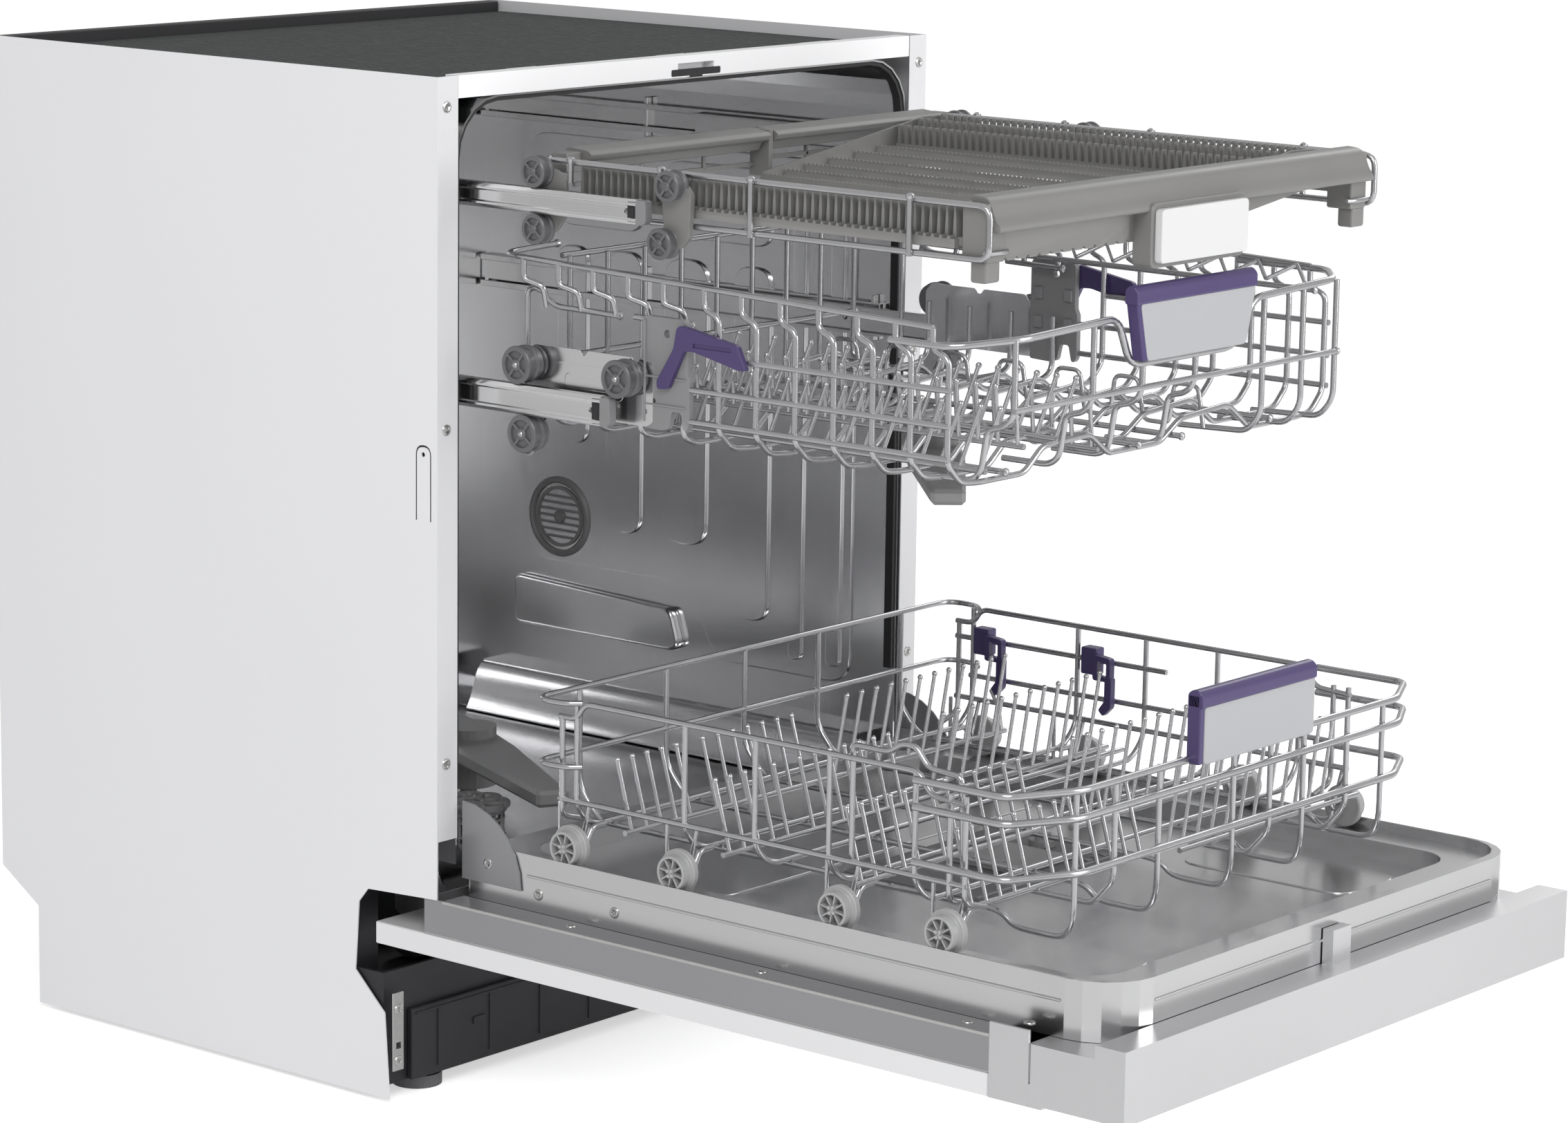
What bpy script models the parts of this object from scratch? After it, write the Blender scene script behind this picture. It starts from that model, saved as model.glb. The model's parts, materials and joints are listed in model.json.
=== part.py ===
"""Semi-integrated dishwasher with its door open and its racks pulled out.

Metres, +Z up, front towards -Y. Every sub-part is one named closed solid.
Inside the functions y is measured from the cabinet's front plane (y = 0),
and ROW_SHIFT moves the finished solids so that the origin is bottom centre.
"""
import math

import bmesh
import bpy

# ---------------------------------------------------------------- sizes
CABINET_WIDTH = 0.598
CABINET_HEIGHT = 0.815
CABINET_DEPTH = 0.505
SHEET = 0.0012
GAP = 0.0003
FRONT_FLANGE = 0.0225
FLANGE_BOTTOM = 0.222
FLOOR_CLEAR = 0.004

DOOR_REACH = 0.655
DOOR_BACK_END = 0.015
DOOR_UNDERSIDE = 0.129
DECOR_THICKNESS = 0.0177
DECOR_BACK_END = 0.068
DECOR_FRONT_END = DOOR_REACH - 0.119
DOOR_FRAME_TOP = 0.1755
FASCIA_DEPTH = 0.0815
FASCIA_TOP = 0.1855
LINER_TOP = 0.220
LINER_FRONT = DOOR_REACH - 0.027
LINER_TRACK = 0.2122
LINER_FLOOR = 0.197
LINER_WALL = 0.0015
HINGE_Y = -0.0185
HINGE_Z = 0.1755

TUB_WALL = 0.0015
TUB_FLOOR = 0.168
TUB_HEADROOM = 0.019
TUB_BACK = 0.488
TUB_RADIUS = 0.045
TUB_LIP = 0.0025

BASE_BOTTOM = 0.0125
BASE_TOP = 0.105
BASE_FRONT = 0.0605
BASE_BACK = 0.4585
BASE_WALL = 0.004
BASE_FLOOR = 0.006
FOOT_RADIUS = 0.020
FOOT_INSET = 0.059
FOOT_FRONT_Y = 0.078
FOOT_REAR = (0.0, 0.430)
STEM_RADIUS = 0.006
TOWER_WIDTH = 0.0282
COVER_INSET = 0.029
MAT_INSET = 0.009

FILTER_AT = (-0.110, 0.142)
FILTER_RADIUS = 0.0285
SUMP_RADIUS = 0.062
ARM_HUB = (0.0, 0.248)
POST_RADIUS = 0.0075

HALF = CABINET_WIDTH / 2
INNER_HALF = HALF - SHEET
TUB_OUTER = HALF - FRONT_FLANGE - 0.0008
TUB_HALF = TUB_OUTER - TUB_WALL
TUB_TOP = CABINET_HEIGHT - TUB_HEADROOM
DOOR_HALF = INNER_HALF - GAP
LINER_HALF = TUB_HALF - 0.002
BASIN_HALF = LINER_HALF - 0.0342
FOOT_FRONT = (HALF - FOOT_INSET, FOOT_FRONT_Y)
ROW_SHIFT = (DOOR_REACH - CABINET_DEPTH) / 2

WIRE = 0.004
LOWER_HALF = TUB_HALF - 0.0192
LOWER_BACK = -0.064
LOWER_FRONT = -0.545
LOWER_FLOOR = 0.240
LOWER_RIM = 0.339
TINE_ROW_Y = -0.147
WHEEL_RADIUS = 0.0172
WHEEL_CLEAR = 0.0006
WHEEL_Z = LINER_TRACK + WHEEL_CLEAR + WHEEL_RADIUS
WHEEL_BORE = 0.0040
WHEEL_X = TUB_HALF - 0.0112
WHEEL_WIDTH = 0.009
WHEEL_Y = (-0.469, -0.370, -0.214, -0.105)

RAIL_WIDTH = 0.008
RAIL_X = TUB_HALF - 0.0157
RAIL_OUTER = RAIL_X + RAIL_WIDTH
RAIL_LENGTH = 0.406
UPPER_RAIL_FRONT = -0.146
TRAY_RAIL_FRONT = -0.180
ROLLER_GAP = 0.001

UPPER_HALF = RAIL_X - 0.0205
UPPER_BACK = -0.013
UPPER_FRONT = -0.480
UPPER_FLOOR = TUB_TOP - 0.251
UPPER_RIM = UPPER_FLOOR + 0.120
UPPER_ROLLER = 0.0135
UPPER_ROLLER_TOP = UPPER_FLOOR + 0.053
UPPER_ROLLER_LOW = UPPER_FLOOR + 0.001

TRAY_HALF = RAIL_X - 0.0185
TRAY_BACK = -0.054
TRAY_FRONT = -0.480
TRAY_FLOOR = TUB_TOP - 0.079
TRAY_RIM = TRAY_FLOOR + 0.040
TRAY_ROLLER = 0.0105
TRAY_ROLLER_TOP = TRAY_FLOOR + 0.029
TRAY_ROLLER_LOW = TRAY_FLOOR - 0.013

DISPENSER_LOW = (-0.080, -0.360)
DISPENSER_HIGH = (0.100, -0.240)

# ------------------------------------------------------------ materials
FINISHES = {
    "panel_paint": ((0.80, 0.81, 0.82), 0.0, 0.35),
    "stainless": ((0.62, 0.62, 0.61), 1.0, 0.28),
    "rail_steel": ((0.70, 0.70, 0.70), 1.0, 0.22),
    "rack_wire": ((0.55, 0.56, 0.57), 0.9, 0.35),
    "black_plastic": ((0.018, 0.018, 0.020), 0.0, 0.5),
    "grey_plastic": ((0.33, 0.33, 0.33), 0.0, 0.45),
    "dark_grey_plastic": ((0.10, 0.10, 0.11), 0.0, 0.45),
    "light_grey_plastic": ((0.60, 0.61, 0.62), 0.0, 0.4),
    "violet_plastic": ((0.065, 0.045, 0.16), 0.0, 0.4),
    "seal_rubber": ((0.02, 0.02, 0.02), 0.0, 0.8),
    "bitumen_felt": ((0.03, 0.04, 0.035), 0.0, 0.95),
    "door_paint": ((0.42, 0.42, 0.43), 0.2, 0.4),
    "decor_white": ((0.82, 0.82, 0.82), 0.0, 0.4),
    "fascia_metal": ((0.60, 0.61, 0.62), 0.9, 0.35),
    "cast_iron": ((0.12, 0.12, 0.12), 0.6, 0.7),
    "glossy_black": ((0.02, 0.02, 0.02), 0.0, 0.2),
}


def clear_scene():
    """Remove what the file already holds."""
    for thing in list(bpy.data.objects):
        bpy.data.objects.remove(thing, do_unlink=True)


def material_named(name):
    """One Principled material per finish."""
    found = bpy.data.materials.get(name)
    if found is not None:
        return found
    colour, metallic, roughness = FINISHES[name]
    made = bpy.data.materials.new(name)
    made.use_nodes = True
    shader = made.node_tree.nodes["Principled BSDF"]
    shader.inputs["Base Color"].default_value = (*colour, 1.0)
    shader.inputs["Metallic"].default_value = metallic
    shader.inputs["Roughness"].default_value = roughness
    return made


# ---------------------------------------------------------- solid tools
def raw_solid(verts, faces):
    """A scene object around a closed surface, normals outwards."""
    mesh = bpy.data.meshes.new("solid")
    mesh.from_pydata(verts, [], faces)
    bm = bmesh.new()
    bm.from_mesh(mesh)
    bmesh.ops.recalc_face_normals(bm, faces=bm.faces)
    bm.to_mesh(mesh)
    bm.free()
    solid = bpy.data.objects.new("solid", mesh)
    bpy.context.scene.collection.objects.link(solid)
    return solid


def prism(outline, axis, low, high):
    """Closed outline (two coordinates in axis order) pushed along an axis."""
    def place(point, level):
        a, b = point
        if axis == "x":
            return (level, a, b)
        if axis == "y":
            return (a, level, b)
        return (a, b, level)

    count = len(outline)
    verts = [place(p, low) for p in outline]
    verts += [place(p, high) for p in outline]
    faces = [tuple(range(count)), tuple(range(2 * count - 1, count - 1, -1))]
    for i in range(count):
        j = (i + 1) % count
        faces.append((i, j, count + j, count + i))
    return raw_solid(verts, faces)


def box(low, high):
    """Straight-sided block between two corners."""
    outline = [(low[0], low[1]), (high[0], low[1]), (high[0], high[1]), (low[0], high[1])]
    return prism(outline, "z", low[2], high[2])


def arc(centre, radius, start, stop, steps):
    """Points on an arc, angles in degrees."""
    points = []
    for i in range(steps + 1):
        turn = math.radians(start + (stop - start) * i / steps)
        points.append((centre[0] + radius * math.cos(turn), centre[1] + radius * math.sin(turn)))
    return points


def rounded(low, high, radii, steps=5):
    """Rectangle outline with its own radius at each corner, from low-low round."""
    corners = [
        ((low[0], low[1]), (1, 1), 180),
        ((high[0], low[1]), (-1, 1), 270),
        ((high[0], high[1]), (-1, -1), 0),
        ((low[0], high[1]), (1, -1), 90),
    ]
    points = []
    for (corner, side, start), radius in zip(corners, radii):
        if radius <= 0:
            points.append(corner)
            continue
        centre = (corner[0] + side[0] * radius, corner[1] + side[1] * radius)
        points += arc(centre, radius, start, start + 90, steps)
    return points


def disc(centre, radius, axis, low, high, sides=24):
    """Round bar along an axis."""
    points = arc(centre, radius, 0, 360 - 360 / sides, sides - 1)
    return prism(points, axis, low, high)


def combine(base, adds=(), cuts=()):
    """Join solids to the base, then take others away, and clean up."""
    for operation, others in (("UNION", adds), ("DIFFERENCE", cuts)):
        for other in others:
            step = base.modifiers.new(operation.title(), "BOOLEAN")
            step.operation = operation
            step.solver = "EXACT"
            step.object = other
    graph = bpy.context.evaluated_depsgraph_get()
    result = bpy.data.meshes.new_from_object(base.evaluated_get(graph))
    base.modifiers.clear()
    base.data = result
    for other in list(adds) + list(cuts):
        bpy.data.objects.remove(other, do_unlink=True)
    return base


def lattice(blocks):
    """One closed surface round a set of overlapping straight blocks."""
    planes = []
    for axis in range(3):
        levels = {round(block[side][axis], 6) for block in blocks for side in (0, 1)}
        planes.append(sorted(levels))
    index = [{level: i for i, level in enumerate(levels)} for levels in planes]
    filled = set()
    for low, high in blocks:
        spans = []
        for axis in range(3):
            first = index[axis][round(low[axis], 6)]
            last = index[axis][round(high[axis], 6)]
            spans.append(range(first, last))
        for i in spans[0]:
            for j in spans[1]:
                for k in spans[2]:
                    filled.add((i, j, k))
    corners = {}
    faces = []

    def corner(i, j, k):
        key = (i, j, k)
        if key not in corners:
            corners[key] = len(corners)
        return corners[key]

    steps = (
        ((1, 0, 0), ((1, 0, 0), (1, 1, 0), (1, 1, 1), (1, 0, 1))),
        ((-1, 0, 0), ((0, 0, 0), (0, 0, 1), (0, 1, 1), (0, 1, 0))),
        ((0, 1, 0), ((0, 1, 0), (0, 1, 1), (1, 1, 1), (1, 1, 0))),
        ((0, -1, 0), ((0, 0, 0), (1, 0, 0), (1, 0, 1), (0, 0, 1))),
        ((0, 0, 1), ((0, 0, 1), (1, 0, 1), (1, 1, 1), (0, 1, 1))),
        ((0, 0, -1), ((0, 0, 0), (0, 1, 0), (1, 1, 0), (1, 0, 0))),
    )
    for cell in sorted(filled):
        for way, ring in steps:
            beside = tuple(c + w for c, w in zip(cell, way))
            if beside in filled:
                continue
            faces.append(tuple(corner(*(c + r for c, r in zip(cell, spot))) for spot in ring))
    verts = [None] * len(corners)
    for (i, j, k), number in corners.items():
        verts[number] = (planes[0][i], planes[1][j], planes[2][k])
    solid = raw_solid(verts, faces)
    bm = bmesh.new()
    bm.from_mesh(solid.data)
    bmesh.ops.dissolve_limit(bm, angle_limit=0.02, verts=bm.verts, edges=bm.edges)
    bm.to_mesh(solid.data)
    bm.free()
    return solid


def soften(solid, width, segments=1, angle=40):
    """Break the sharp edges of a plain solid."""
    bm = bmesh.new()
    bm.from_mesh(solid.data)
    bmesh.ops.remove_doubles(bm, verts=bm.verts, dist=1e-6)
    limit = math.radians(angle)
    sharp = [e for e in bm.edges if len(e.link_faces) == 2 and e.calc_face_angle(0) > limit]
    bmesh.ops.bevel(bm, geom=sharp, offset=width, segments=segments, affect="EDGES",
                    profile=0.5, clamp_overlap=True)
    bm.to_mesh(solid.data)
    bm.free()
    return solid


def publish(solid, name, finish, pivot=(0.0, 0.0, 0.0)):
    """Name the solid, move it to the row frame and set its origin."""
    solid.name = name
    solid.data.name = name
    solid.data.materials.clear()
    solid.data.materials.append(material_named(finish))
    for polygon in solid.data.polygons:
        polygon.material_index = 0
        polygon.use_smooth = False
    for vertex in solid.data.vertices:
        vertex.co.x -= pivot[0]
        vertex.co.y -= pivot[1]
        vertex.co.z -= pivot[2]
    solid.location = (pivot[0], pivot[1] + ROW_SHIFT, pivot[2])
    return solid


# ------------------------------------------------------------- cabinet
def side_outline():
    """Side of the cabinet, with the door's cut-out and the base's step."""
    return [
        (0.0, CABINET_HEIGHT),
        (0.0, 0.176),
        (0.075, 0.172),
        (0.085, 0.160),
        (0.089, 0.104),
        (0.057, 0.074),
        (0.052, FLOOR_CLEAR),
        (0.461, FLOOR_CLEAR),
        (0.461, 0.088),
        (CABINET_DEPTH, 0.116),
        (CABINET_DEPTH, CABINET_HEIGHT),
    ]


def build_side_panels():
    for name, side in (("side_panel_left", -1), ("side_panel_right", 1)):
        inner, outer = sorted((side * INNER_HALF, side * HALF))
        sheet = prism(side_outline(), "x", inner, outer)
        low, high = sorted((side * HALF, side * (HALF - FRONT_FLANGE)))
        flange = box((low, 0.0, FLANGE_BOTTOM), (high, SHEET, CABINET_HEIGHT))
        publish(combine(sheet, adds=[flange]), name, "panel_paint")


def build_base():
    half = INNER_HALF - 0.0016
    shell = box((-half, BASE_FRONT, BASE_BOTTOM), (half, BASE_BACK, BASE_TOP))
    towers = []
    for side in (-1, 1):
        low, high = sorted((side * (half - TOWER_WIDTH), side * half))
        towers.append(box((low, 0.094, 0.06), (high, 0.135, 0.165)))
        towers.append(box((low, 0.405, 0.06), (high, BASE_BACK, 0.165)))
    room = box(
        (-half + BASE_WALL, BASE_FRONT + BASE_WALL, BASE_BOTTOM + BASE_FLOOR),
        (half - BASE_WALL, BASE_BACK - BASE_WALL, BASE_TOP + 0.02),
    )
    shell = combine(shell, cuts=[room])
    shell = combine(shell, adds=towers)
    holes = []
    for x, y in foot_places():
        holes.append(disc((x, y), STEM_RADIUS + GAP, "z", 0.0, 0.03))
    publish(combine(shell, cuts=holes), "base_tray", "black_plastic")

    cover_half = HALF - COVER_INSET
    cover = box((-cover_half, 0.0545, BASE_BOTTOM), (cover_half, BASE_FRONT - GAP, 0.071))
    publish(soften(cover, 0.001), "plinth_cover", "black_plastic")


def foot_places():
    return [(-FOOT_FRONT[0], FOOT_FRONT[1]), FOOT_FRONT, FOOT_REAR]


def build_feet():
    names = ("foot_front_left", "foot_front_right", "foot_rear")
    for name, (x, y) in zip(names, foot_places()):
        pad = disc((x, y), FOOT_RADIUS, "z", 0.0, 0.010)
        stem = disc((x, y), STEM_RADIUS, "z", 0.004, BASE_BOTTOM + BASE_FLOOR - 0.0002, 16)
        publish(combine(pad, adds=[stem]), name, "dark_grey_plastic")


def build_base_contents():
    block = box((-0.200, 0.362, 0.0188), (0.200, 0.452, 0.060))
    publish(soften(block, 0.003), "ballast_block", "cast_iron")

    motor = disc((0.290, 0.062), 0.035, "x", 0.010, 0.120)
    volute = disc((0.290, 0.058), 0.038, "x", -0.030, 0.020)
    stand = box((0.030, 0.270, 0.0188), (0.100, 0.310, 0.040))
    publish(combine(motor, adds=[volute, stand]), "circulation_pump", "dark_grey_plastic")


def build_tub():
    ring = (0.030, 0.030, TUB_RADIUS, TUB_RADIUS)
    outer_ring = tuple(r + TUB_WALL for r in ring)
    outer = rounded(
        (-TUB_OUTER, TUB_FLOOR - TUB_WALL), (TUB_OUTER, TUB_TOP + TUB_WALL), outer_ring
    )
    inner = rounded((-TUB_HALF, TUB_FLOOR), (TUB_HALF, TUB_TOP), ring)
    shell = prism(outer, "y", TUB_LIP, TUB_BACK + TUB_WALL)
    room = prism(inner, "y", -0.02, TUB_BACK)
    shell = combine(shell, cuts=[room])
    ledges = []
    for side in (-1, 1):
        low, high = sorted((side * (TUB_HALF - 0.0187), side * (TUB_HALF + 0.0007)))
        ledges.append(box((low, 0.024, LINER_TRACK - 0.006), (high, 0.470, LINER_TRACK)))
    shell = combine(shell, adds=ledges)
    lip = box((-HALF, -0.01, 0.15), (HALF, 0.022, 0.200))
    well = disc(FILTER_AT, SUMP_RADIUS - 0.0055, "z", 0.15, 0.18, 32)
    feed = disc(ARM_HUB, POST_RADIUS + 0.001, "z", 0.15, 0.18, 16)
    publish(combine(shell, cuts=[lip, well, feed]), "tub", "stainless")

    skin = 0.003
    outer = rounded(
        (-TUB_HALF + GAP, 0.0), (TUB_HALF - GAP, TUB_TOP - GAP), (0, 0, TUB_RADIUS, TUB_RADIUS)
    )
    inner = rounded(
        (-TUB_HALF + GAP + skin, -0.1),
        (TUB_HALF - GAP - skin, TUB_TOP - GAP - skin),
        (0, 0, TUB_RADIUS - skin, TUB_RADIUS - skin),
    )
    band = prism(outer, "y", 0.004, 0.012)
    hollow = prism(inner, "y", 0.0, 0.02)
    below = box((-HALF, 0.0, -0.1), (HALF, 0.02, 0.270))
    publish(combine(band, cuts=[hollow, below]), "door_seal", "seal_rubber")


def build_sump():
    x, y = FILTER_AT
    hub_x, hub_y = ARM_HUB
    reach = math.hypot(hub_x - x, hub_y - y)
    side = (-(hub_y - y) / reach * 0.016, (hub_x - x) / reach * 0.016)
    duct = [
        (x + side[0], y + side[1]),
        (x - side[0], y - side[1]),
        (hub_x - side[0], hub_y - side[1]),
        (hub_x + side[0], hub_y + side[1]),
    ]
    under = TUB_FLOOR - TUB_WALL - GAP
    well = disc(FILTER_AT, SUMP_RADIUS, "z", 0.108, under, 32)
    channel = prism(duct, "z", 0.140, under)
    end = disc(ARM_HUB, 0.016, "z", 0.140, under, 16)
    post = disc(ARM_HUB, POST_RADIUS, "z", 0.150, 0.224, 16)
    room = disc(FILTER_AT, SUMP_RADIUS - 0.006, "z", 0.112, 0.2, 32)
    solid = combine(well, adds=[channel, end, post])
    publish(combine(solid, cuts=[room]), "sump", "dark_grey_plastic")

    plate = disc(FILTER_AT, 0.078, "z", TUB_FLOOR + GAP, TUB_FLOOR + 0.002, 32)
    hole = disc(FILTER_AT, FILTER_RADIUS + 0.001, "z", 0.1, 0.3, 24)
    publish(combine(plate, cuts=[hole]), "filter_plate", "stainless")

    body = disc((x, y), FILTER_RADIUS, "z", 0.125, 0.188)
    ears = [disc((x + dx, y + dy), 0.0145, "z", 0.183, 0.194, 12)
            for dx, dy in ((0.019, 0.0), (-0.019, 0.0), (0.0, 0.019), (0.0, -0.019))]
    grip = box((x - 0.022, y - 0.003, 0.186), (x + 0.022, y + 0.003, 0.199))
    pivot = (x, y, 0.150)
    publish(combine(body, adds=ears + [grip]), "coarse_filter", "grey_plastic", pivot)


def build_top():
    rail = box((-TUB_OUTER, 0.0004, TUB_TOP + TUB_WALL + GAP), (TUB_OUTER, 0.014, CABINET_HEIGHT))
    recess = box((-0.022, -0.01, CABINET_HEIGHT - 0.015), (0.022, 0.010, CABINET_HEIGHT - 0.006))
    publish(combine(rail, cuts=[recess]), "front_rail", "stainless")
    mat_half = HALF - MAT_INSET
    mat = box((-mat_half, 0.018, TUB_TOP + TUB_WALL + GAP),
              (mat_half, 0.482, CABINET_HEIGHT - 0.009))
    publish(mat, "top_mat", "bitumen_felt")
    bar_half = INNER_HALF - 0.0018
    bar = box((-bar_half, TUB_BACK + 0.0022, CABINET_HEIGHT - 0.055),
              (bar_half, CABINET_DEPTH - 0.001, CABINET_HEIGHT - 0.0005))
    publish(soften(bar, 0.001), "rear_frame", "black_plastic")


def build_wall_vent():
    centre = (0.390, 0.354)
    face = TUB_HALF - GAP
    body = disc(centre, 0.037, "x", face - 0.006, face, 32)
    dish = disc(centre, 0.030, "x", face - 0.02, face - 0.004, 32)
    slats = [box((face - 0.006, 0.362, z), (face - 0.003, 0.418, z + 0.003))
             for z in (0.336, 0.346, 0.356, 0.366)]
    body = combine(body, cuts=[dish])
    publish(combine(body, adds=slats), "wall_vent", "dark_grey_plastic")


def build_rails():
    sets = (
        ("upper", UPPER_ROLLER_LOW + UPPER_ROLLER, UPPER_ROLLER_TOP - UPPER_ROLLER,
         UPPER_RAIL_FRONT),
        ("tray", TRAY_ROLLER_LOW + TRAY_ROLLER, TRAY_ROLLER_TOP - TRAY_ROLLER, TRAY_RAIL_FRONT),
    )
    for kind, low, high, front in sets:
        low += ROLLER_GAP
        high -= ROLLER_GAP
        for word, side in (("left", -1), ("right", 1)):
            inner, outer = sorted((side * RAIL_X, side * RAIL_OUTER))
            rail = box((inner, front, low), (outer, front + RAIL_LENGTH, high))
            web_in, web_out = sorted((side * (RAIL_X - 0.01), side * (RAIL_X + 0.002)))
            groove = box((web_in, front + 0.012, low + 0.005),
                         (web_out, front + RAIL_LENGTH + 0.01, high - 0.005))
            publish(combine(rail, cuts=[groove]), f"{kind}_rail_{word}", "rail_steel")
            near, far = sorted((side * (RAIL_OUTER + 0.0004), side * (TUB_HALF - GAP)))
            guide = box((near, 0.020, low - 0.003), (far, 0.485, high + 0.003))
            publish(guide, f"{kind}_guide_{word}", "rail_steel")


def spray_arm(hub, low, high, reach, centre_half, tip_half, angle):
    """Flat two-ended arm outline turned to its resting angle."""
    points = [
        (-reach, -tip_half), (-reach * 0.25, -centre_half), (reach * 0.25, -centre_half),
        (reach, -tip_half), (reach, tip_half), (reach * 0.25, centre_half),
        (-reach * 0.25, centre_half), (-reach, tip_half),
    ]
    turn = math.radians(angle)
    turned = []
    for px, py in points:
        tx = hub[0] + px * math.cos(turn) - py * math.sin(turn)
        ty = hub[1] + px * math.sin(turn) + py * math.cos(turn)
        turned.append((tx, ty))
    return soften(prism(turned, "z", low, high), 0.003, 1, 60)


def build_spray_arms():
    x, y = ARM_HUB
    arm = spray_arm(ARM_HUB, 0.2045, 0.2185, 0.215, 0.026, 0.014, 62)
    hub = disc(ARM_HUB, 0.024, "z", 0.176, 0.227, 24)
    bore = disc(ARM_HUB, POST_RADIUS + GAP, "z", 0.16, 0.2245, 16)
    solid = combine(arm, adds=[hub])
    publish(combine(solid, cuts=[bore]), "lower_spray_arm", "grey_plastic", (x, y, 0.210))

    low = TUB_TOP - 0.026
    arm = spray_arm(ARM_HUB, low, low + 0.010, 0.120, 0.018, 0.010, 20)
    hub = disc(ARM_HUB, 0.020, "z", low - 0.002, TUB_TOP - GAP, 24)
    publish(combine(arm, adds=[hub]), "top_spray_arm", "grey_plastic", (x, y, low + 0.005))

    place = (0.0, (UPPER_BACK + UPPER_FRONT) / 2)
    low = UPPER_FLOOR - 0.028
    arm = spray_arm(place, low, low + 0.012, 0.205, 0.022, 0.013, 41)
    hub = disc(place, 0.020, "z", low - 0.004, UPPER_FLOOR - GAP, 24)
    publish(combine(arm, adds=[hub]), "upper_spray_arm", "grey_plastic",
            (place[0], place[1], low + 0.006))


# ---------------------------------------------------------------- door
def build_door_shell():
    floor = DOOR_UNDERSIDE + DECOR_THICKNESS + GAP
    fascia_back = -DOOR_REACH + FASCIA_DEPTH
    frame = box((-DOOR_HALF, fascia_back + GAP, floor), (DOOR_HALF, DOOR_BACK_END, DOOR_FRAME_TOP))
    room = box((-DOOR_HALF + 0.0015, fascia_back + 0.002, floor + 0.0015),
               (DOOR_HALF - 0.0015, DOOR_BACK_END - 0.0015, 0.2))
    publish(combine(frame, cuts=[room]), "door_frame", "door_paint")

    decor = box((-DOOR_HALF, -DECOR_FRONT_END, DOOR_UNDERSIDE),
                (DOOR_HALF, DECOR_BACK_END, DOOR_UNDERSIDE + DECOR_THICKNESS))
    publish(soften(decor, 0.0008), "decor_panel", "decor_white")

    fascia = box((-DOOR_HALF, -DOOR_REACH, DOOR_UNDERSIDE + 0.002),
                 (DOOR_HALF, fascia_back, DOOR_FRAME_TOP))
    lip = box((-DOOR_HALF, -DOOR_REACH, 0.15), (DOOR_HALF, -LINER_FRONT - 0.0008, FASCIA_TOP))
    strip = box((-DOOR_HALF, fascia_back - 0.01, DOOR_UNDERSIDE),
                (DOOR_HALF, -DECOR_FRONT_END - GAP, floor - 2 * GAP))
    catch = box((-0.012, -LINER_FRONT - 0.010, 0.16), (0.012, -LINER_FRONT - 0.0008, 0.2120))
    solid = combine(fascia, adds=[lip, strip, catch])
    pockets = []
    front, back = button_depths()
    for x, half in button_places():
        pockets.append(box((x - half - 0.0004, front - 0.0004, 0.12),
                           (x + half + 0.0004, back + 0.0004, 0.140)))
    publish(combine(solid, cuts=pockets), "control_fascia", "fascia_metal")


def button_places():
    return [(-DOOR_HALF + 0.0625, 0.012), (DOOR_HALF - 0.0975, 0.020)]


def button_depths():
    return -DOOR_REACH + 0.025, -DOOR_REACH + 0.045


def build_buttons():
    front, back = button_depths()
    for name, (x, half) in zip(("power_button", "start_button"), button_places()):
        cap = box((x - half, front, 0.1298), (x + half, back, 0.1370))
        publish(soften(cap, 0.0008), name, "glossy_black")


def build_liner():
    rear = -0.006
    front = -LINER_FRONT
    wall = LINER_WALL
    base = DOOR_FRAME_TOP + GAP
    radii = (0.045, 0.045, 0.004, 0.004)
    smaller = (0.043, 0.043, 0, 0)
    outer = prism(rounded((-LINER_HALF, front), (LINER_HALF, rear), radii), "z", base, LINER_TOP)
    track = prism(rounded((-LINER_HALF + 0.0022, front + 0.008), (LINER_HALF - 0.0022, 0.02),
                          smaller), "z", LINER_TRACK, 0.3)
    low, high = (-BASIN_HALF, front + 0.040), (BASIN_HALF, rear - 0.030)
    basin = prism(rounded(low, high, (0.03,) * 4), "z", LINER_FLOOR, 0.3)
    under = prism(rounded((-LINER_HALF + wall, front + wall), (LINER_HALF - wall, rear - wall),
                          radii), "z", 0.1, LINER_TRACK - wall)
    step = prism(rounded((low[0] - wall, low[1] - wall), (high[0] + wall, high[1] + wall),
                         (0.0315,) * 4), "z", LINER_FLOOR - wall, 0.3)
    under = combine(under, cuts=[step])
    slot = box((DISPENSER_LOW[0] - GAP, DISPENSER_LOW[1] - GAP, 0.15),
               (DISPENSER_HIGH[0] + GAP, DISPENSER_HIGH[1] + GAP, 0.25))
    solid = combine(outer, cuts=[track])
    solid = combine(solid, cuts=[basin])
    solid = combine(solid, cuts=[under])
    publish(combine(solid, cuts=[slot]), "door_liner", "stainless")


def build_hinge_arms():
    centre = (-0.003, 0.190)
    outline = [(centre[0], centre[1])] + arc(centre, 0.062, 90, 180, 7)
    for word, side in (("left", -1), ("right", 1)):
        low, high = sorted((side * (LINER_HALF + 0.0004), side * (TUB_HALF - GAP)))
        plate = prism(outline, "x", low, high)
        publish(plate, f"hinge_arm_{word}", "stainless")


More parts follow.
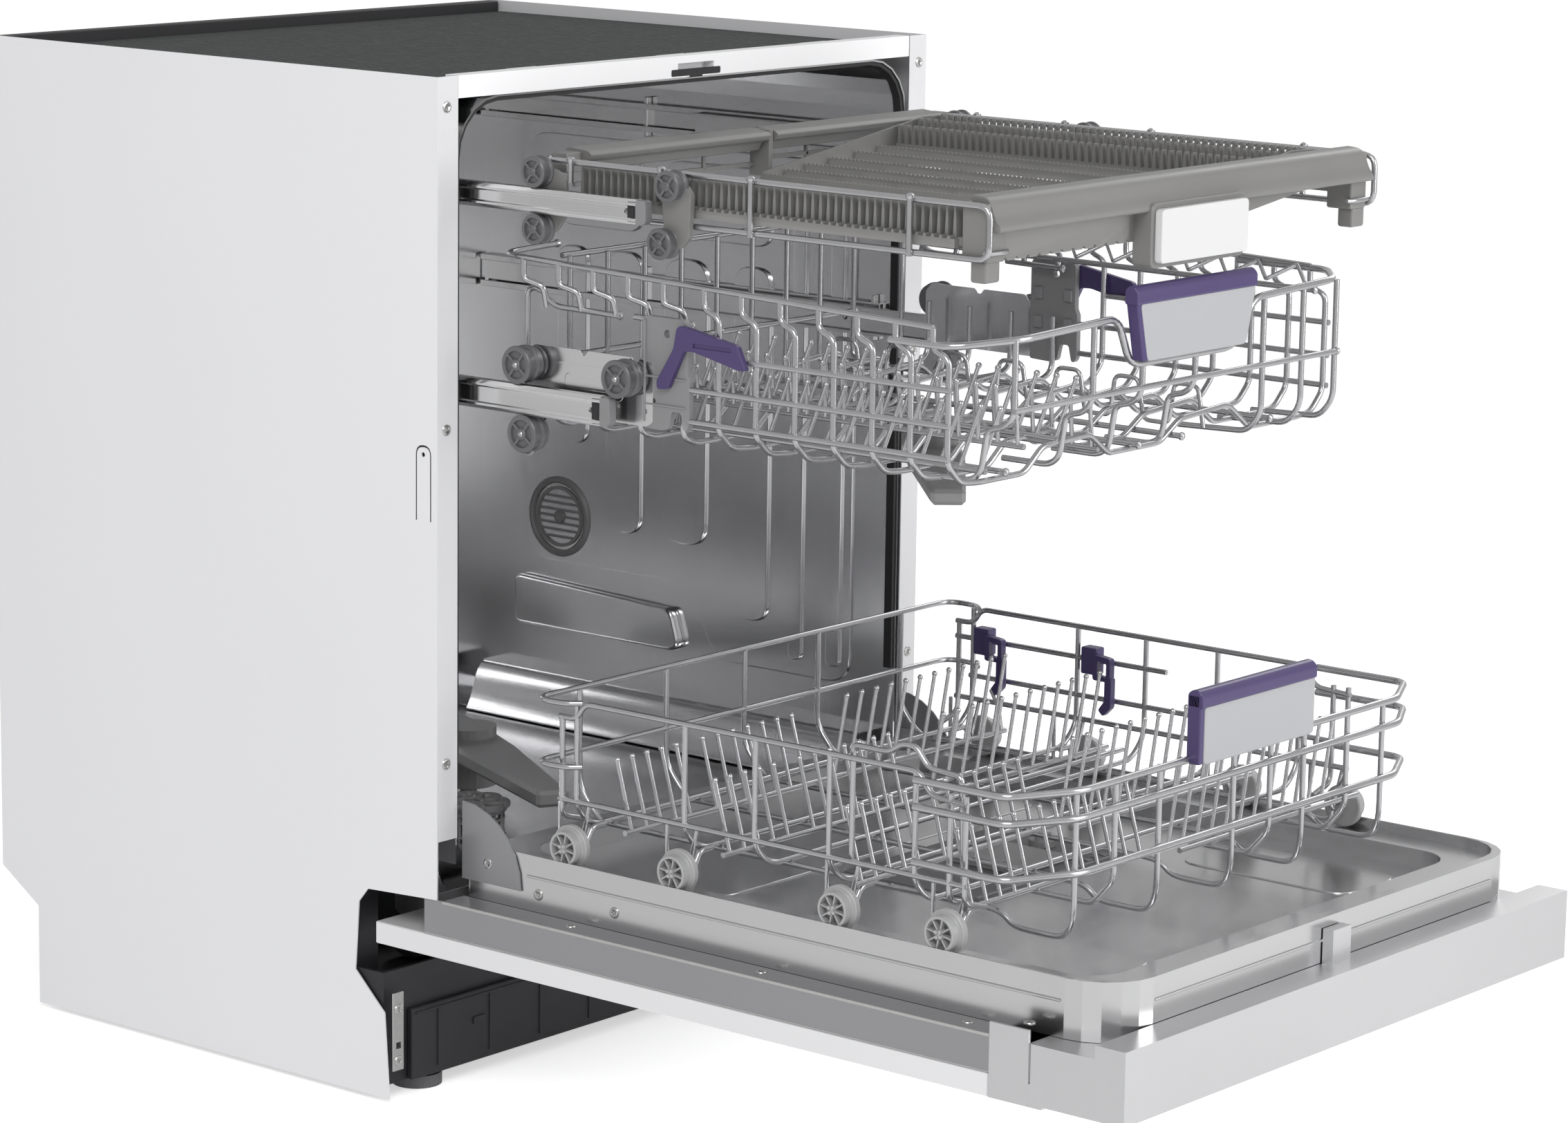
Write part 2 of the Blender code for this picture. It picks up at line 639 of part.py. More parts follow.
def build_dispenser():
    low, high = DISPENSER_LOW, DISPENSER_HIGH
    top = LINER_FLOOR + GAP
    body = box((low[0], low[1], 0.160), (high[0], high[1], top + 0.002))
    brim = box((low[0] - 0.006, low[1] - 0.006, top), (high[0] + 0.006, high[1] + 0.006,
                                                     top + 0.003))
    cup = box((0.0, low[1] + 0.022, 0.166), (0.060, high[1] - 0.038, 0.25))
    publish(combine(body, adds=[brim], cuts=[cup]), "dispenser_body", "grey_plastic")

    shelf = top + 0.003 + GAP
    lid = box((-0.006, low[1] + 0.016, shelf), (0.066, high[1] - 0.032, shelf + 0.0025))
    tab = box((-0.004, low[1] + 0.035, shelf + 0.001), (0.004, high[1] - 0.050, shelf + 0.007))
    publish(combine(lid, adds=[tab]), "dispenser_lid", "light_grey_plastic")

    place = (0.084, (low[1] + high[1]) / 2)
    cap = disc(place, 0.011, "z", shelf, shelf + 0.005, 20)
    grip = box((place[0] - 0.009, place[1] - 0.0015, shelf + 0.004),
               (place[0] + 0.009, place[1] + 0.0015, shelf + 0.009))
    publish(combine(cap, adds=[grip]), "rinse_aid_cap", "light_grey_plastic",
            (place[0], place[1], shelf))


# --------------------------------------------------------------- racks
def spread(first, last, count):
    """Evenly placed positions, both ends included."""
    return [first + (last - first) * i / (count - 1) for i in range(count)]


def basket_blocks(half, back, front, floor, levels, rim, across, along):
    """Wires of an open basket: floor grid, uprights and rails."""
    xs = spread(-half, half - WIRE, across)
    ys = spread(front, back - WIRE, along)
    blocks = []
    for x in xs:
        blocks.append(((x, front, floor), (x + WIRE, back, floor + WIRE)))
        for y in (ys[0], ys[-1]):
            blocks.append(((x, y, floor), (x + WIRE, y + WIRE, rim + WIRE)))
    for y in ys:
        blocks.append(((-half, y, floor), (half, y + WIRE, floor + WIRE)))
        for x in (xs[0], xs[-1]):
            blocks.append(((x, y, floor), (x + WIRE, y + WIRE, rim + WIRE)))
    for level in tuple(levels) + (rim,):
        for y in (ys[0], ys[-1]):
            blocks.append(((-half, y, level), (half, y + WIRE, level + WIRE)))
        for x in (xs[0], xs[-1]):
            blocks.append(((x, front, level), (x + WIRE, back, level + WIRE)))
    return blocks


def build_lower_rack():
    blocks = basket_blocks(LOWER_HALF, LOWER_BACK, LOWER_FRONT, LOWER_FLOOR, (0.264,),
                           LOWER_RIM, 7, 7)
    stub = WIRE / 2
    for side in (-1, 1):
        for y in WHEEL_Y:
            low, high = sorted((side * (LOWER_HALF - WIRE), side * (WHEEL_X + 0.006)))
            blocks.append(((low, y - stub, WHEEL_Z - stub), (high, y + stub, WHEEL_Z + stub)))
            low, high = sorted((side * (LOWER_HALF - WIRE), side * LOWER_HALF))
            blocks.append(((low, y - stub, WHEEL_Z - stub), (high, y + stub, LOWER_FLOOR + WIRE)))
    publish(lattice(blocks), "lower_rack", "rack_wire")

    grip = box((-0.076, LOWER_FRONT - 0.0135, LOWER_RIM - 0.005),
               (0.076, LOWER_FRONT - GAP, LOWER_RIM + 0.052))
    publish(soften(grip, 0.003, 2), "lower_rack_handle", "light_grey_plastic")

    number = 0
    for word, side in (("left", -1), ("right", 1)):
        for y in WHEEL_Y:
            number += 1
            low, high = sorted((side * (WHEEL_X - WHEEL_WIDTH / 2),
                                side * (WHEEL_X + WHEEL_WIDTH / 2)))
            wheel = disc((y, WHEEL_Z), WHEEL_RADIUS, "x", low, high, 24)
            hole = disc((y, WHEEL_Z), WHEEL_BORE, "x", low - 0.01, high + 0.01, 12)
            publish(combine(wheel, cuts=[hole]), f"wheel_{word}_{(number - 1) % 4 + 1}",
                    "light_grey_plastic", (side * WHEEL_X, y, WHEEL_Z))

    y = TINE_ROW_Y
    low = LOWER_FLOOR + WIRE + GAP * 3
    right = LOWER_HALF - 0.019
    blocks = [((0.010, y - 0.0015, low), (right, y + 0.0015, low + 0.003))]
    for x in spread(0.012, right - 0.005, 11):
        blocks.append(((x, y - 0.0015, low), (x + 0.003, y + 0.0015, low + 0.062)))
    publish(lattice(blocks), "lower_tine_row", "rack_wire", (0.120, y, low + 0.0015))


def raised(level, outline):
    """Outline points lifted from a level to their heights."""
    return [(y, level + height) for y, height in outline]


def build_upper_rack():
    blocks = basket_blocks(UPPER_HALF, UPPER_BACK, UPPER_FRONT, UPPER_FLOOR, (UPPER_FLOOR + 0.067,),
                           UPPER_RIM, 7, 7)
    publish(lattice(blocks), "upper_rack", "rack_wire")

    top, bend, low = UPPER_RIM + 0.018, UPPER_RIM - 0.010, UPPER_RIM - 0.039
    outline = [(-0.078, top), (-0.078, bend), (-0.066, low), (0.066, low),
               (0.078, bend), (0.078, top)]
    grip = prism(outline, "y", UPPER_FRONT - 0.0120, UPPER_FRONT - GAP)
    publish(soften(grip, 0.002), "upper_rack_handle", "light_grey_plastic")

    plate_outline = raised(UPPER_FLOOR, (
        (-0.045, 0.067), (-0.045, -0.010), (-0.073, -0.010), (-0.073, 0.019), (-0.222, 0.019),
        (-0.238, 0.075), (-0.238, 0.101), (-0.166, 0.101), (-0.166, 0.067)))
    lever_outline = raised(UPPER_FLOOR, (
        (-0.233, 0.097), (-0.285, 0.083), (-0.287, 0.069), (-0.232, 0.079),
        (-0.214, 0.049), (-0.198, 0.047), (-0.210, 0.087), (-0.218, 0.097)))
    for word, side in (("left", -1), ("right", 1)):
        low, high = sorted((side * (UPPER_HALF + GAP), side * (RAIL_X - 0.0120)))
        plate = prism(plate_outline, "x", low, high)
        low, high = sorted((side * (RAIL_X - 0.0145), side * (RAIL_OUTER - 0.0002)))
        rollers = [disc((y, z), UPPER_ROLLER, "x", low, high, 20) for y, z in (
            (-0.055, UPPER_ROLLER_TOP), (-0.159, UPPER_ROLLER_TOP), (-0.059, UPPER_ROLLER_LOW))]
        publish(combine(plate, adds=rollers), f"height_bracket_{word}", "dark_grey_plastic")
        low, high = sorted((side * (RAIL_X - 0.0117), side * (RAIL_X - 0.0065)))
        lever = prism(lever_outline, "x", low, high)
        publish(lever, f"height_lever_{word}", "violet_plastic",
                (side * (RAIL_X - 0.0091), -0.227, UPPER_FLOOR + 0.090))


def build_tray():
    half, back, front = TRAY_HALF, TRAY_BACK, TRAY_FRONT
    blocks = []
    for x in spread(-half, half - WIRE, 7):
        blocks.append(((x, front, TRAY_FLOOR), (x + WIRE, back, TRAY_FLOOR + 0.003)))
    for y in spread(front, back - WIRE, 7):
        blocks.append(((-half, y, TRAY_FLOOR), (half, y + WIRE, TRAY_FLOOR + 0.003)))
    for x in (-half, half - WIRE):
        blocks.append(((x, front, TRAY_FLOOR), (x + WIRE, back, TRAY_FLOOR + 0.016)))
        blocks.append(((x, front, TRAY_RIM - WIRE), (x + WIRE, back, TRAY_RIM)))
        blocks.append(((x, -0.209, TRAY_FLOOR - 0.023), (x + WIRE, back, TRAY_RIM)))
        blocks.append(((x, front, TRAY_FLOOR), (x + WIRE, front + WIRE, TRAY_RIM)))
    blocks.append(((-half, back - WIRE, TRAY_FLOOR), (half, back, TRAY_FLOOR + 0.016)))
    blocks.append(((-half, back - WIRE, TRAY_RIM - WIRE), (half, back, TRAY_RIM)))
    blocks.append(((-half, front - 0.010, TRAY_FLOOR + 0.018),
                   (half, front + 0.014, TRAY_FLOOR + 0.045)))
    blocks.append(((-half, front, TRAY_FLOOR), (half, front + WIRE, TRAY_FLOOR + 0.023)))
    tray = lattice(blocks)
    rollers = []
    for side in (-1, 1):
        low, high = sorted((side * (half - 0.002), side * (RAIL_OUTER - 0.0002)))
        for y, z in ((-0.066, TRAY_ROLLER_TOP), (-0.199, TRAY_ROLLER_TOP),
                     (-0.067, TRAY_ROLLER_LOW), (-0.189, TRAY_ROLLER_LOW)):
            rollers.append(disc((y, z), TRAY_ROLLER, "x", low, high, 16))
    publish(combine(tray, adds=rollers), "cutlery_tray", "grey_plastic")

    low = TRAY_FLOOR + 0.003 + GAP
    blocks = [((0.030, -0.440, low), (0.215, -0.436, low + 0.024)),
              ((0.030, -0.094, low), (0.215, -0.090, low + 0.024))]
    for x in spread(0.030, 0.213, 7):
        blocks.append(((x, -0.440, low), (x + 0.002, -0.090, low + 0.012)))
    publish(lattice(blocks), "tray_insert", "grey_plastic")

    plate = box((-0.056, front - 0.0168, TRAY_FLOOR - 0.019),
                (0.056, front - 0.0103, TRAY_FLOOR + 0.021))
    publish(soften(plate, 0.002), "tray_handle", "light_grey_plastic")


def build_all():
    clear_scene()
    build_side_panels()
    build_base()
    build_feet()
    build_base_contents()
    build_tub()
    build_sump()
    build_top()
    build_wall_vent()
    build_rails()
    build_spray_arms()
    build_door_shell()
    build_buttons()
    build_liner()
    build_hinge_arms()
    build_dispenser()
    build_lower_rack()
    build_upper_rack()
    build_tray()


build_all()
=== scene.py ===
# %% [markdown]
# # A dishwasher with its door down
#
# This lesson dresses a imported model of a built-in dishwasher. The packed
# model is the engineering frame: it fixes where every body is and how it
# moves. The looks are built around it, piece by piece, in the same metres.
# The first cell loads the frame.

import json
import math

import bpy
from mathutils import Matrix, Vector

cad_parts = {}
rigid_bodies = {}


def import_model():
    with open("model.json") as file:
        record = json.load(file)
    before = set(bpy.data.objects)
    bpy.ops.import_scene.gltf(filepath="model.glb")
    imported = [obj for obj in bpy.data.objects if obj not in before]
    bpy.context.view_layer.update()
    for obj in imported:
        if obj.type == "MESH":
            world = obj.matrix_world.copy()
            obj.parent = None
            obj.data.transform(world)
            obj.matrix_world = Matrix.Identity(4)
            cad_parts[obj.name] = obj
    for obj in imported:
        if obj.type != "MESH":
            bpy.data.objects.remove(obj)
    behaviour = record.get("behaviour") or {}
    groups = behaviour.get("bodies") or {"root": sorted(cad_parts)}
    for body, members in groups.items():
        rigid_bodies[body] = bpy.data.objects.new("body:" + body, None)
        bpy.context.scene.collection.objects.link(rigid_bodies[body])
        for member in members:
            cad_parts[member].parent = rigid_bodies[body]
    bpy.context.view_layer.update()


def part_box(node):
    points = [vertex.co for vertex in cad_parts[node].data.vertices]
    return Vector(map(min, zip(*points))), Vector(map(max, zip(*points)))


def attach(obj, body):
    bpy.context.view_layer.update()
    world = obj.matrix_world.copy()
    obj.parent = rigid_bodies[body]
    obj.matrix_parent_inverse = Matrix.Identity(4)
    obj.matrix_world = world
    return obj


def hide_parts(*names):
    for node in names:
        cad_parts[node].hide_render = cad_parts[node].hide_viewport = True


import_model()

# %% [markdown]
# A fitter measures depths from the cabinet's front plane, so this lesson does
# too: a depth is negative in front of the cabinet and positive inside it. The
# plane is read from a side panel. Pieces are modelled with these depths, and
# the last step of each piece slides it back into the frame.

# %% Reference planes
panel_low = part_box("side_panel_left")[0]
FRONT = panel_low.y


def depth_box(node):
    """A CAD node's corners, with y counted from the cabinet's front plane."""
    low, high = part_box(node)
    shift = Vector((0, FRONT, 0))
    return low - shift, high - shift


print("front plane at y =", round(FRONT, 4))

# %% [markdown]
# The camera stands to the left, a little above the worktop's height, with a
# long lens, so that upright edges stay nearly parallel. Its aim is written as
# a compass turn, a dip and a small roll, because those can be read off a
# tripod head.

# %% Camera
CAMERA_TURN = math.radians(50.591)
CAMERA_DIP = math.radians(10.943)
CAMERA_ROLL = math.radians(0.839)
LENS = 110.55

camera_data = bpy.data.cameras.new("studio_camera")
camera = bpy.data.objects.new("studio_camera", camera_data)
bpy.context.scene.collection.objects.link(camera)
camera_data.lens = LENS
camera_data.sensor_width = 36.0
camera_data.clip_end = 60.0
camera.location = (-2.9283, FRONT - 2.5042, 1.1484)

ahead = Vector((math.sin(CAMERA_TURN) * math.cos(CAMERA_DIP),
                math.cos(CAMERA_TURN) * math.cos(CAMERA_DIP), -math.sin(CAMERA_DIP)))
level_right = ahead.cross(Vector((0, 0, 1))).normalized()
level_up = level_right.cross(ahead)
right = level_right * math.cos(CAMERA_ROLL) + level_up * math.sin(CAMERA_ROLL)
up = right.cross(ahead)
camera.rotation_mode = "QUATERNION"
camera.rotation_quaternion = Matrix((right, up, -ahead)).transposed().to_quaternion()
bpy.context.scene.camera = camera
print("camera at", [round(v, 3) for v in camera.location])

# %% [markdown]
# Operators act on whatever is selected, and the loaded nodes come in selected.
# Two small helpers keep that under control: one clears the selection, the
# other makes a single object selected and active.

# %% Selection helpers


def deselect():
    for other in bpy.context.selected_objects:
        other.select_set(False)


def pick(obj):
    """Make one object the selected and active one."""
    deselect()
    obj.select_set(True)
    bpy.context.view_layer.objects.active = obj
    return obj


deselect()
print("nothing is selected")

# %% [markdown]
# A plain pale floor runs a long way back, so its far edge melts into a white
# backdrop. Both are stage and not part of the object. The floor is matt and
# glows a little, as lit paper does, but not in reflections, so that steel
# keeps its contrast.

# %% Stage
bpy.ops.mesh.primitive_plane_add(size=60, location=(0, 0, 0))
floor = bpy.context.active_object
floor.name = "paper_floor"
bpy.ops.object.mode_set(mode="EDIT")
bpy.ops.mesh.subdivide(number_cuts=3)
bpy.ops.object.mode_set(mode="OBJECT")
paper = bpy.data.materials.new("floor_paper")
paper.use_nodes = True
paper_shader = paper.node_tree.nodes["Principled BSDF"]
paper_shader.inputs["Base Color"].default_value = (0.93, 0.93, 0.93, 1)
paper_shader.inputs["Roughness"].default_value = 0.9
paper_shader.inputs["Specular IOR Level"].default_value = 0.1
paper_shader.inputs["Emission Color"].default_value = (1.0, 1.0, 1.0, 1.0)
dimmer = paper.node_tree.nodes.new("ShaderNodeLightPath")
glow = paper.node_tree.nodes.new("ShaderNodeMapRange")
glow.inputs["To Min"].default_value = 0.56
glow.inputs["To Max"].default_value = 0.0
paper.node_tree.links.new(dimmer.outputs["Is Glossy Ray"], glow.inputs["Value"])
paper.node_tree.links.new(glow.outputs["Result"], paper_shader.inputs["Emission Strength"])
floor.data.materials.append(paper)
floor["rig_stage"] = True
print("floor laid")

# %% [markdown]
# Soft light comes from a white world and from four panels: one in front on
# the left for the side panel, one low in front that shines into the open tub,
# one on the right that draws bright lines along the wires, and a narrow strip
# in front. The world is white to the camera, dimmer as light, and a little
# brighter in reflections than as light. The plain display curve keeps white
# things white.

# %% Lights
bpy.context.scene.view_settings.view_transform = "Standard"
world = bpy.data.worlds.new("studio")
bpy.context.scene.world = world
world.use_nodes = True
world.node_tree.nodes["Background"].inputs["Color"].default_value = (1.0, 1.0, 1.0, 1.0)
seen = world.node_tree.nodes.new("ShaderNodeLightPath")
level = world.node_tree.nodes.new("ShaderNodeMapRange")
level.inputs["To Min"].default_value = 0.50
level.inputs["To Max"].default_value = 1.0
world.node_tree.links.new(seen.outputs["Is Camera Ray"], level.inputs["Value"])
shy = world.node_tree.nodes.new("ShaderNodeMath")
shy.operation = "MULTIPLY_ADD"
shy.inputs[1].default_value = 0.06
world.node_tree.links.new(seen.outputs["Is Glossy Ray"], shy.inputs[0])
world.node_tree.links.new(level.outputs["Result"], shy.inputs[2])
world.node_tree.links.new(shy.outputs[0],
                          world.node_tree.nodes["Background"].inputs["Strength"])


def soft_panel(name, place, aim, width, height, watts):
    light = bpy.data.lights.new(name, "AREA")
    light.shape = "RECTANGLE"
    light.size = width
    light.size_y = height
    light.energy = watts
    lamp = bpy.data.objects.new(name, light)
    bpy.context.scene.collection.objects.link(lamp)
    lamp.location = place
    lamp.rotation_mode = "QUATERNION"
    lamp.rotation_quaternion = (Vector(aim) - Vector(place)).to_track_quat("-Z", "Y")
    return lamp


soft_panel("key_panel", (-2.2, -1.6, 2.4), (0, 0, 0.4), 1.5, 1.5, 42)
soft_panel("door_panel", (1.3, -2.6, 1.3), (0, 0, 0.4), 0.9, 1.6, 14)
soft_panel("rim_panel", (2.4, 0.2, 1.8), (0, 0, 0.5), 1.0, 1.6, 12)
soft_panel("strip_panel", (0.6, -2.2, 1.1), (0, 0.3, 0.5), 0.18, 1.6, 12)
print("four panels and a white world")

# %% [markdown]
# ## Finishes
#
# Every finish here is a real process: pressed and brushed steel, powder
# paint, moulded plastic, coated wire. What they share is small: a cloudy
# unevenness, a fine grain, lines left by a brush or a roller, and edges that
# are rubbed bright. Each effect is one node group with named inputs, built
# once and set differently in each material.

# %% Node group helper


def node_group(name, inputs, outputs):
    """An empty shader group with float inputs and outputs, and its two ends."""
    group = bpy.data.node_groups.new(name, "ShaderNodeTree")
    for label, value in inputs.items():
        socket = group.interface.new_socket(name=label, in_out="INPUT",
                                            socket_type="NodeSocketFloat")
        socket.default_value = value
    for label in outputs:
        group.interface.new_socket(name=label, in_out="OUTPUT", socket_type="NodeSocketFloat")
    start = group.nodes.new("NodeGroupInput")
    end = group.nodes.new("NodeGroupOutput")
    return group, start, end


def connect(group, *pairs):
    for source, target in pairs:
        group.links.new(source, target)


print("group helper ready")

# %% [markdown]
# Cloudy patches are noise at the scale of a hand. They stand for paint that
# lies a little thicker here and there, and for a wiped film on steel.

# %% Cloudy patches
cloudy, start, end = node_group("cloudy", {"Scale": 5.0, "Contrast": 1.0}, ["Factor"])
place = cloudy.nodes.new("ShaderNodeTexCoord")
noise = cloudy.nodes.new("ShaderNodeTexNoise")
noise.inputs["Detail"].default_value = 3.0
centre = cloudy.nodes.new("ShaderNodeMath")
centre.operation = "SUBTRACT"
centre.inputs[1].default_value = 0.5
spread_node = cloudy.nodes.new("ShaderNodeMath")
spread_node.operation = "MULTIPLY_ADD"
spread_node.use_clamp = True
spread_node.inputs[2].default_value = 0.5
connect(cloudy, (place.outputs["Object"], noise.inputs["Vector"]),
        (start.outputs["Scale"], noise.inputs["Scale"]),
        (noise.outputs["Fac"], centre.inputs[0]),
        (centre.outputs[0], spread_node.inputs[0]),
        (start.outputs["Contrast"], spread_node.inputs[1]),
        (spread_node.outputs[0], end.inputs["Factor"]))
print("cloudy:", len(cloudy.nodes), "nodes")

# %% [markdown]
# Fine grain is what a fingertip feels: spark texture on plastic, orange peel
# on powder paint. It is noise at a fraction of a millimetre.

# %% Fine grain
fine_grain, start, end = node_group("fine_grain", {"Scale": 900.0, "Detail": 2.0}, ["Height"])
place = fine_grain.nodes.new("ShaderNodeTexCoord")
noise = fine_grain.nodes.new("ShaderNodeTexNoise")
connect(fine_grain, (place.outputs["Object"], noise.inputs["Vector"]),
        (start.outputs["Scale"], noise.inputs["Scale"]),
        (start.outputs["Detail"], noise.inputs["Detail"]),
        (noise.outputs["Fac"], end.inputs["Height"]))
print("fine_grain:", len(fine_grain.nodes), "nodes")

# %% [markdown]
# Brush lines are noise squeezed hard in two directions and left long in the
# third, so each grain becomes a hairline. The three inputs say how many
# grains there are to the metre along X, Y and Z.

# %% Brush lines
brush_lines, start, end = node_group(
    "brush_lines", {"Along X": 20.0, "Along Y": 900.0, "Along Z": 900.0}, ["Lines"])
place = brush_lines.nodes.new("ShaderNodeTexCoord")
stretch = brush_lines.nodes.new("ShaderNodeVectorMath")
stretch.operation = "MULTIPLY"
three = brush_lines.nodes.new("ShaderNodeCombineXYZ")
noise = brush_lines.nodes.new("ShaderNodeTexNoise")
noise.inputs["Scale"].default_value = 1.0
noise.inputs["Detail"].default_value = 2.0
connect(brush_lines, (start.outputs["Along X"], three.inputs["X"]),
        (start.outputs["Along Y"], three.inputs["Y"]),
        (start.outputs["Along Z"], three.inputs["Z"]),
        (place.outputs["Object"], stretch.inputs[0]),
        (three.outputs["Vector"], stretch.inputs[1]),
        (stretch.outputs["Vector"], noise.inputs["Vector"]),
        (noise.outputs["Fac"], end.inputs["Lines"]))
print("brush_lines:", len(brush_lines.nodes), "nodes")

# %% [markdown]
# Handling rubs outer edges lighter. The mesh's own pointiness finds them.

# %% Rubbed edges
rubbed_edges, start, end = node_group("rubbed_edges", {"Sharpness": 14.0}, ["Mask"])
shape = rubbed_edges.nodes.new("ShaderNodeNewGeometry")
above = rubbed_edges.nodes.new("ShaderNodeMath")
above.operation = "SUBTRACT"
above.inputs[1].default_value = 0.52
gain = rubbed_edges.nodes.new("ShaderNodeMath")
gain.operation = "MULTIPLY"
gain.use_clamp = True
connect(rubbed_edges, (shape.outputs["Pointiness"], above.inputs[0]),
        (above.outputs[0], gain.inputs[0]),
        (start.outputs["Sharpness"], gain.inputs[1]),
        (gain.outputs[0], end.inputs["Mask"]))
print("rubbed_edges:", len(rubbed_edges.nodes), "nodes")

# %% [markdown]
# A finish is then one Principled shader with those groups set to its own
# values. The metallic value is a plain number on the shader; only what
# changes over the surface is linked: the colour's patches and rubbed edges,
# the roughness, and the height that a Bump node turns into a normal. The
# record's slot is kept on the material, so that a piece can pass it on.

# %% Finish maker


def shade(colour, factor):
    return tuple(min(1.0, c * factor) for c in colour) + (1.0,)


def use_group(tree, group, **values):
    """Place a group in a material and set its inputs by name."""
    node = tree.nodes.new("ShaderNodeGroup")
    node.node_tree = group
    for label, value in values.items():
        node.inputs[label.replace("_", " ")].default_value = value
    return node


def mix_colours(tree, factor, first, second):
    """A colour mix whose ends are either plain colours or sockets."""
    mix = tree.nodes.new("ShaderNodeMix")
    mix.data_type = "RGBA"
    tree.links.new(factor, mix.inputs[0])
    for socket, value in ((mix.inputs[6], first), (mix.inputs[7], second)):
        if isinstance(value, tuple):
            socket.default_value = value
        else:
            tree.links.new(value, socket)
    return mix.outputs[2]


def finish_of(name, slot, colour, metallic=0.0, rough=(0.35, 0.45), patches=(6.0, 0.04),
              grain=(900.0, 0.00004), lines=None, rubbed=0.0):
    """One material: patches, grain, optional brush lines (x, y, z, height), rubbed edges."""
    skin = bpy.data.materials.new(name)
    skin.use_nodes = True
    skin["slot"] = slot
    tree = skin.node_tree
    shader = tree.nodes["Principled BSDF"]
    shader.inputs["Metallic"].default_value = metallic
    cloud = use_group(tree, cloudy, Scale=patches[0], Contrast=1.6).outputs["Factor"]
    tint = mix_colours(tree, cloud, shade(colour, 1 - patches[1]), shade(colour, 1 + patches[1]))
    if rubbed:
        edge = use_group(tree, rubbed_edges, Sharpness=rubbed).outputs["Mask"]
        tint = mix_colours(tree, edge, tint, shade(colour, 1.5))
    tree.links.new(tint, shader.inputs["Base Color"])
    spread = tree.nodes.new("ShaderNodeMapRange")
    spread.inputs["To Min"].default_value = rough[0]
    spread.inputs["To Max"].default_value = rough[1]
    fine = use_group(tree, fine_grain, Scale=grain[0]).outputs["Height"]
    height, reach = fine, grain[1]
    if lines:
        hair = use_group(tree, brush_lines, Along_X=lines[0], Along_Y=lines[1], Along_Z=lines[2])
        height, reach = hair.outputs["Lines"], lines[3]
        tree.links.new(mix_factor(tree, cloud, height), spread.inputs["Value"])
    else:
        tree.links.new(mix_factor(tree, cloud, fine), spread.inputs["Value"])
    tree.links.new(spread.outputs["Result"], shader.inputs["Roughness"])
    bump = tree.nodes.new("ShaderNodeBump")
    bump.inputs["Distance"].default_value = reach
    tree.links.new(height, bump.inputs["Height"])
    tree.links.new(bump.outputs["Normal"], shader.inputs["Normal"])
    return skin


def mix_factor(tree, first, second):
    """The mean of two masks."""
    mean = tree.nodes.new("ShaderNodeMath")
    mean.operation = "MULTIPLY_ADD"
    mean.inputs[1].default_value = 0.5
    half = tree.nodes.new("ShaderNodeMath")
    half.operation = "MULTIPLY"
    half.inputs[1].default_value = 0.5
    tree.links.new(second, half.inputs[0])
    tree.links.new(first, mean.inputs[0])
    tree.links.new(half.outputs[0], mean.inputs[2])
    return mean.outputs[0]


print("finish maker ready")

# %% [markdown]
# The machine's own finishes. Steel comes in three kinds: the satin of the
# tub and the liner with upright or lengthwise hairlines, the bright rolled
# rails, and the wires with their silver-grey coat. Paint is nearly plain.
# The plastics differ in colour, and a little in gloss.

# %% Finishes
UPRIGHT = (700.0, 700.0, 12.0, 0.000012)
LENGTHWISE = (1600.0, 40.0, 1600.0, 0.000004)
CROSSWISE = (12.0, 900.0, 900.0, 0.00002)

tub_steel = finish_of("tub_steel", "stainless", (0.80, 0.80, 0.808), 1.0, (0.12, 0.24),
                      (7.0, 0.05), lines=UPRIGHT)
liner_steel = finish_of("liner_steel", "stainless", (0.62, 0.62, 0.625), 1.0, (0.16, 0.28),
                        (7.0, 0.03), lines=LENGTHWISE)
rail_skin = finish_of("rolled_steel", "rail_steel", (0.78, 0.78, 0.78), 1.0, (0.10, 0.22),
                      (12.0, 0.05), lines=LENGTHWISE)
wire_coat = finish_of("coated_wire", "rack_wire", (0.52, 0.52, 0.532), 0.95, (0.18, 0.30),
                      (30.0, 0.05), (1500.0, 0.00003))
panel_paint = finish_of("panel_powder_paint", "panel_paint", (0.69, 0.69, 0.705), 0.0, (0.32, 0.42),
                        (3.0, 0.012), (1400.0, 0.00002))
flange_paint = finish_of("flange_powder_paint", "panel_paint", (0.88, 0.88, 0.89), 0.0,
                         (0.28, 0.36), (3.0, 0.01), (1400.0, 0.00002))
door_paint = finish_of("door_frame_paint", "door_paint", (0.27, 0.27, 0.28), 0.35, (0.30, 0.42),
                       (5.0, 0.03), (1400.0, 0.00003))
board_white = finish_of("white_board", "decor_white", (0.66, 0.66, 0.67), 0.0, (0.36, 0.46),
                        (4.0, 0.012), (1100.0, 0.00003))
fascia_skin = finish_of("brushed_fascia", "fascia_metal", (0.66, 0.66, 0.67), 1.0, (0.28, 0.42),
                        (6.0, 0.03), lines=CROSSWISE)
black_plastic = finish_of("black_moulding", "black_plastic", (0.012, 0.012, 0.014), 0.0,
                          (0.42, 0.60), (20.0, 0.15), (1200.0, 0.00008), rubbed=6.0)
dark_plastic = finish_of("dark_moulding", "dark_grey_plastic", (0.085, 0.085, 0.09), 0.0,
                         (0.34, 0.50), (20.0, 0.08), (1300.0, 0.00006), rubbed=4.0)
roller_plastic = finish_of("roller_moulding", "dark_grey_plastic", (0.105, 0.105, 0.110), 0.0,
                           (0.26, 0.40), (30.0, 0.06), (1300.0, 0.00004), rubbed=3.0)
